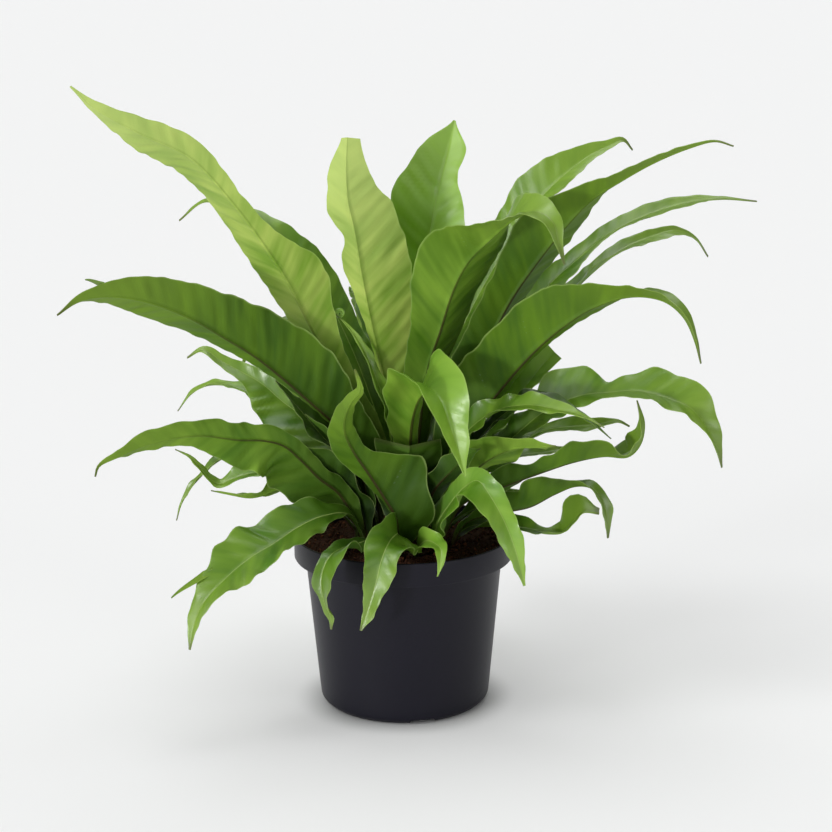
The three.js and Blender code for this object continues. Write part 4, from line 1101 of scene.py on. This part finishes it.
def make_crown():
    """Low mound of old leaf bases, clothed in narrow brown scales that point up and outwards."""
    rng = np.random.default_rng(CROWN_SEED)
    heap = Heap()
    radius, x, y = rings(np.linspace(CROWN_INMOST_RING, CROWN_RADIUS, CROWN_RINGS), CROWN_SIDES)
    height = CROWN_EDGE + CROWN_RISE * (1 - (radius / CROWN_RADIUS) ** 2) - CROWN_SINK
    height = height + roughness_field(x, y, rng, *CROWN_RIPPLES)
    faces = ring_faces(*radius.shape) + [list(range(CROWN_SIDES))]
    heap.add(np.stack([x, y, height], axis=-1).reshape(-1, 3), faces, CROWN_TONE)
    for _ in range(SCALE_COUNT):
        far = CROWN_RADIUS * math.sqrt(rng.random())
        turn = rng.uniform(0, 360)
        foot = polar(far, turn, ground_height(far) - SCALE_SINK)
        out = polar(1, turn + rng.normal(0, SCALE_TURN), 0)
        grow = unit(out * rng.uniform(*SCALE_LEAN) + (0, 0, 1))
        length = rng.uniform(*SCALE_LENGTH)
        wide = unit(np.cross(grow, out + (0, 0, 0.01))) * rng.uniform(*SCALE_HALF_WIDTH)
        bend = out * length * SCALE_BEND
        belly = foot + grow * length * SCALE_BELLY + bend * SCALE_BELLY_BEND
        belly_wide = wide * SCALE_BELLY_WIDTH
        tip = foot + grow * length + bend
        corners = np.array([foot - wide, foot + wide, belly + belly_wide, belly - belly_wide, tip])
        heap.add(corners, [[0, 1, 2, 3], [3, 2, 4]], rng.random())
    return heap.piece("crown_scales", crown_material())


def mottled_material(name, scale, detail, dark, light, fleck, flecks_from, flecks_to, roughness, specular,
                     strength, distance):
    """Mottled brown, with flecks on the bits whose tone is high."""
    nodes = new_material(name)
    mottle = nodes.noise(nodes.place(), scale, detail)
    colour = nodes.blend(mottle, dark, light)
    colour = nodes.blend(nodes.ramp(nodes.attribute("tone"), flecks_from, flecks_to), colour, fleck)
    return nodes.finish(nodes.surface(colour, roughness, specular, mottle, strength, distance))


def soil_material():
    """Damp peat with bark: dark brown, with reddish and tan grains."""
    return mottled_material("soil_peat", scale=420.0, detail=5.0, dark="1e100a", light="52301f",
                            fleck="6b4028", flecks_from=0.6, flecks_to=0.95, roughness=0.9, specular=0.25,
                            strength=0.8, distance=0.0006)


def crown_material():
    """Dry brown scales over dark fibre."""
    return mottled_material("crown_fibre", scale=300.0, detail=4.0, dark="1d130c", light="3d2817",
                            fleck="6e4b2a", flecks_from=0.3, flecks_to=1.0, roughness=0.75, specular=0.3,
                            strength=0.5, distance=0.0005)


def make_camera():
    elevation = math.radians(CAMERA_ELEVATION)
    roll = math.radians(CAMERA_ROLL)
    back = Vector((0, -math.cos(elevation), math.sin(elevation)))
    level = Vector((1, 0, 0))
    upright = back.cross(level)
    right = level * math.cos(roll) + upright * math.sin(roll)
    up = upright * math.cos(roll) - level * math.sin(roll)
    data = bpy.data.cameras.new("camera")
    data.sensor_width = SENSOR_WIDTH
    data.lens = FOCAL_PIXELS * SENSOR_WIDTH / FRAME_SIDE
    data.clip_end = 100
    camera = bpy.data.objects.new("camera", data)
    place = (Vector(CAMERA_TARGET) + back * CAMERA_DISTANCE) * MM
    camera.matrix_world = Matrix.Translation(place) @ Matrix((right, up, back)).transposed().to_4x4()
    bpy.context.scene.collection.objects.link(camera)
    bpy.context.scene.camera = camera


def make_sun(name, strength, spread, azimuth, elevation):
    """Broad soft light from a direction."""
    data = bpy.data.lights.new(name, "SUN")
    data.energy = strength
    data.angle = math.radians(spread)
    sun = bpy.data.objects.new(name, data)
    towards = Vector(polar(math.cos(math.radians(elevation)), azimuth, math.sin(math.radians(elevation))))
    sun.rotation_mode = "QUATERNION"
    sun.rotation_quaternion = towards.to_track_quat("Z", "Y")
    bpy.context.scene.collection.objects.link(sun)


def make_world():
    nodes = Nodes(bpy.data.worlds.new("studio"))
    height = nodes.add("SeparateXYZ", {0: nodes.place("Generated")}, "Z")
    strength = nodes.ramp(height, HORIZON, OVERHEAD, HORIZON_GLOW, OVERHEAD_GLOW)
    background = nodes.add("Background", {"Color": WHITE, "Strength": strength})
    bpy.context.scene.world = nodes.finish(background, "World")


def make_floor():
    """Pale floor that glows evenly, with a painted shadow round the pot where the glow fades out."""
    sides = ((-1, -1), (1, -1), (1, 1), (-1, 1))
    corners = [(x * FLOOR_REACH, y * FLOOR_REACH, 0) for x, y in sides]
    floor = make_mesh("floor", corners, [[0, 1, 2, 3]])
    nodes = new_material("floor_light_table")
    distance = nodes.add("VectorMath", {0: nodes.place()}, "Value", operation="LENGTH")
    surface = nodes.add("BsdfPrincipled", {
        "Base Color": FLOOR_COLOUR,
        "Roughness": 0.9,
        "Specular IOR Level": 0.0,
        "Emission Color": WHITE,
        # The glow fades out round the pot: a painted shadow.
        "Emission Strength": nodes.ramp(distance, GLOW_FROM, GLOW_TO, 0.0, FLOOR_GLOW),
    })
    floor.data.materials.append(nodes.finish(surface))


def kind_of(number):
    for kind, numbers in KINDS.items():
        if number in numbers:
            return kind
    return "mid"


def dress(piece, node=None):
    """Puts a piece on the body, in place of a node where one is given."""
    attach(piece, "root")
    if node:
        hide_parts(node)


def main():
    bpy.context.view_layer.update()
    bpy.context.scene.view_settings.view_transform = "Standard"
    make_camera()
    make_world()
    for name, settings in SUNS.items():
        make_sun(name, *settings)
    make_floor()
    leaf_materials = make_leaf_materials()
    for frond in FRONDS:
        dress(make_frond(frond, leaf_materials[kind_of(frond.number)]), frond.name)
    for number, *shape in FORKS:
        dress(make_fork(FRONDS[number - 1], *shape, leaf_materials[kind_of(number)]))
    dress(make_coil(FRONDS[COILED_FROND - 1], leaf_materials["bright"]))
    dress(make_pot(), "pot")
    dress(make_soil(), "soil")
    dress(make_crown(), "crown")


main()
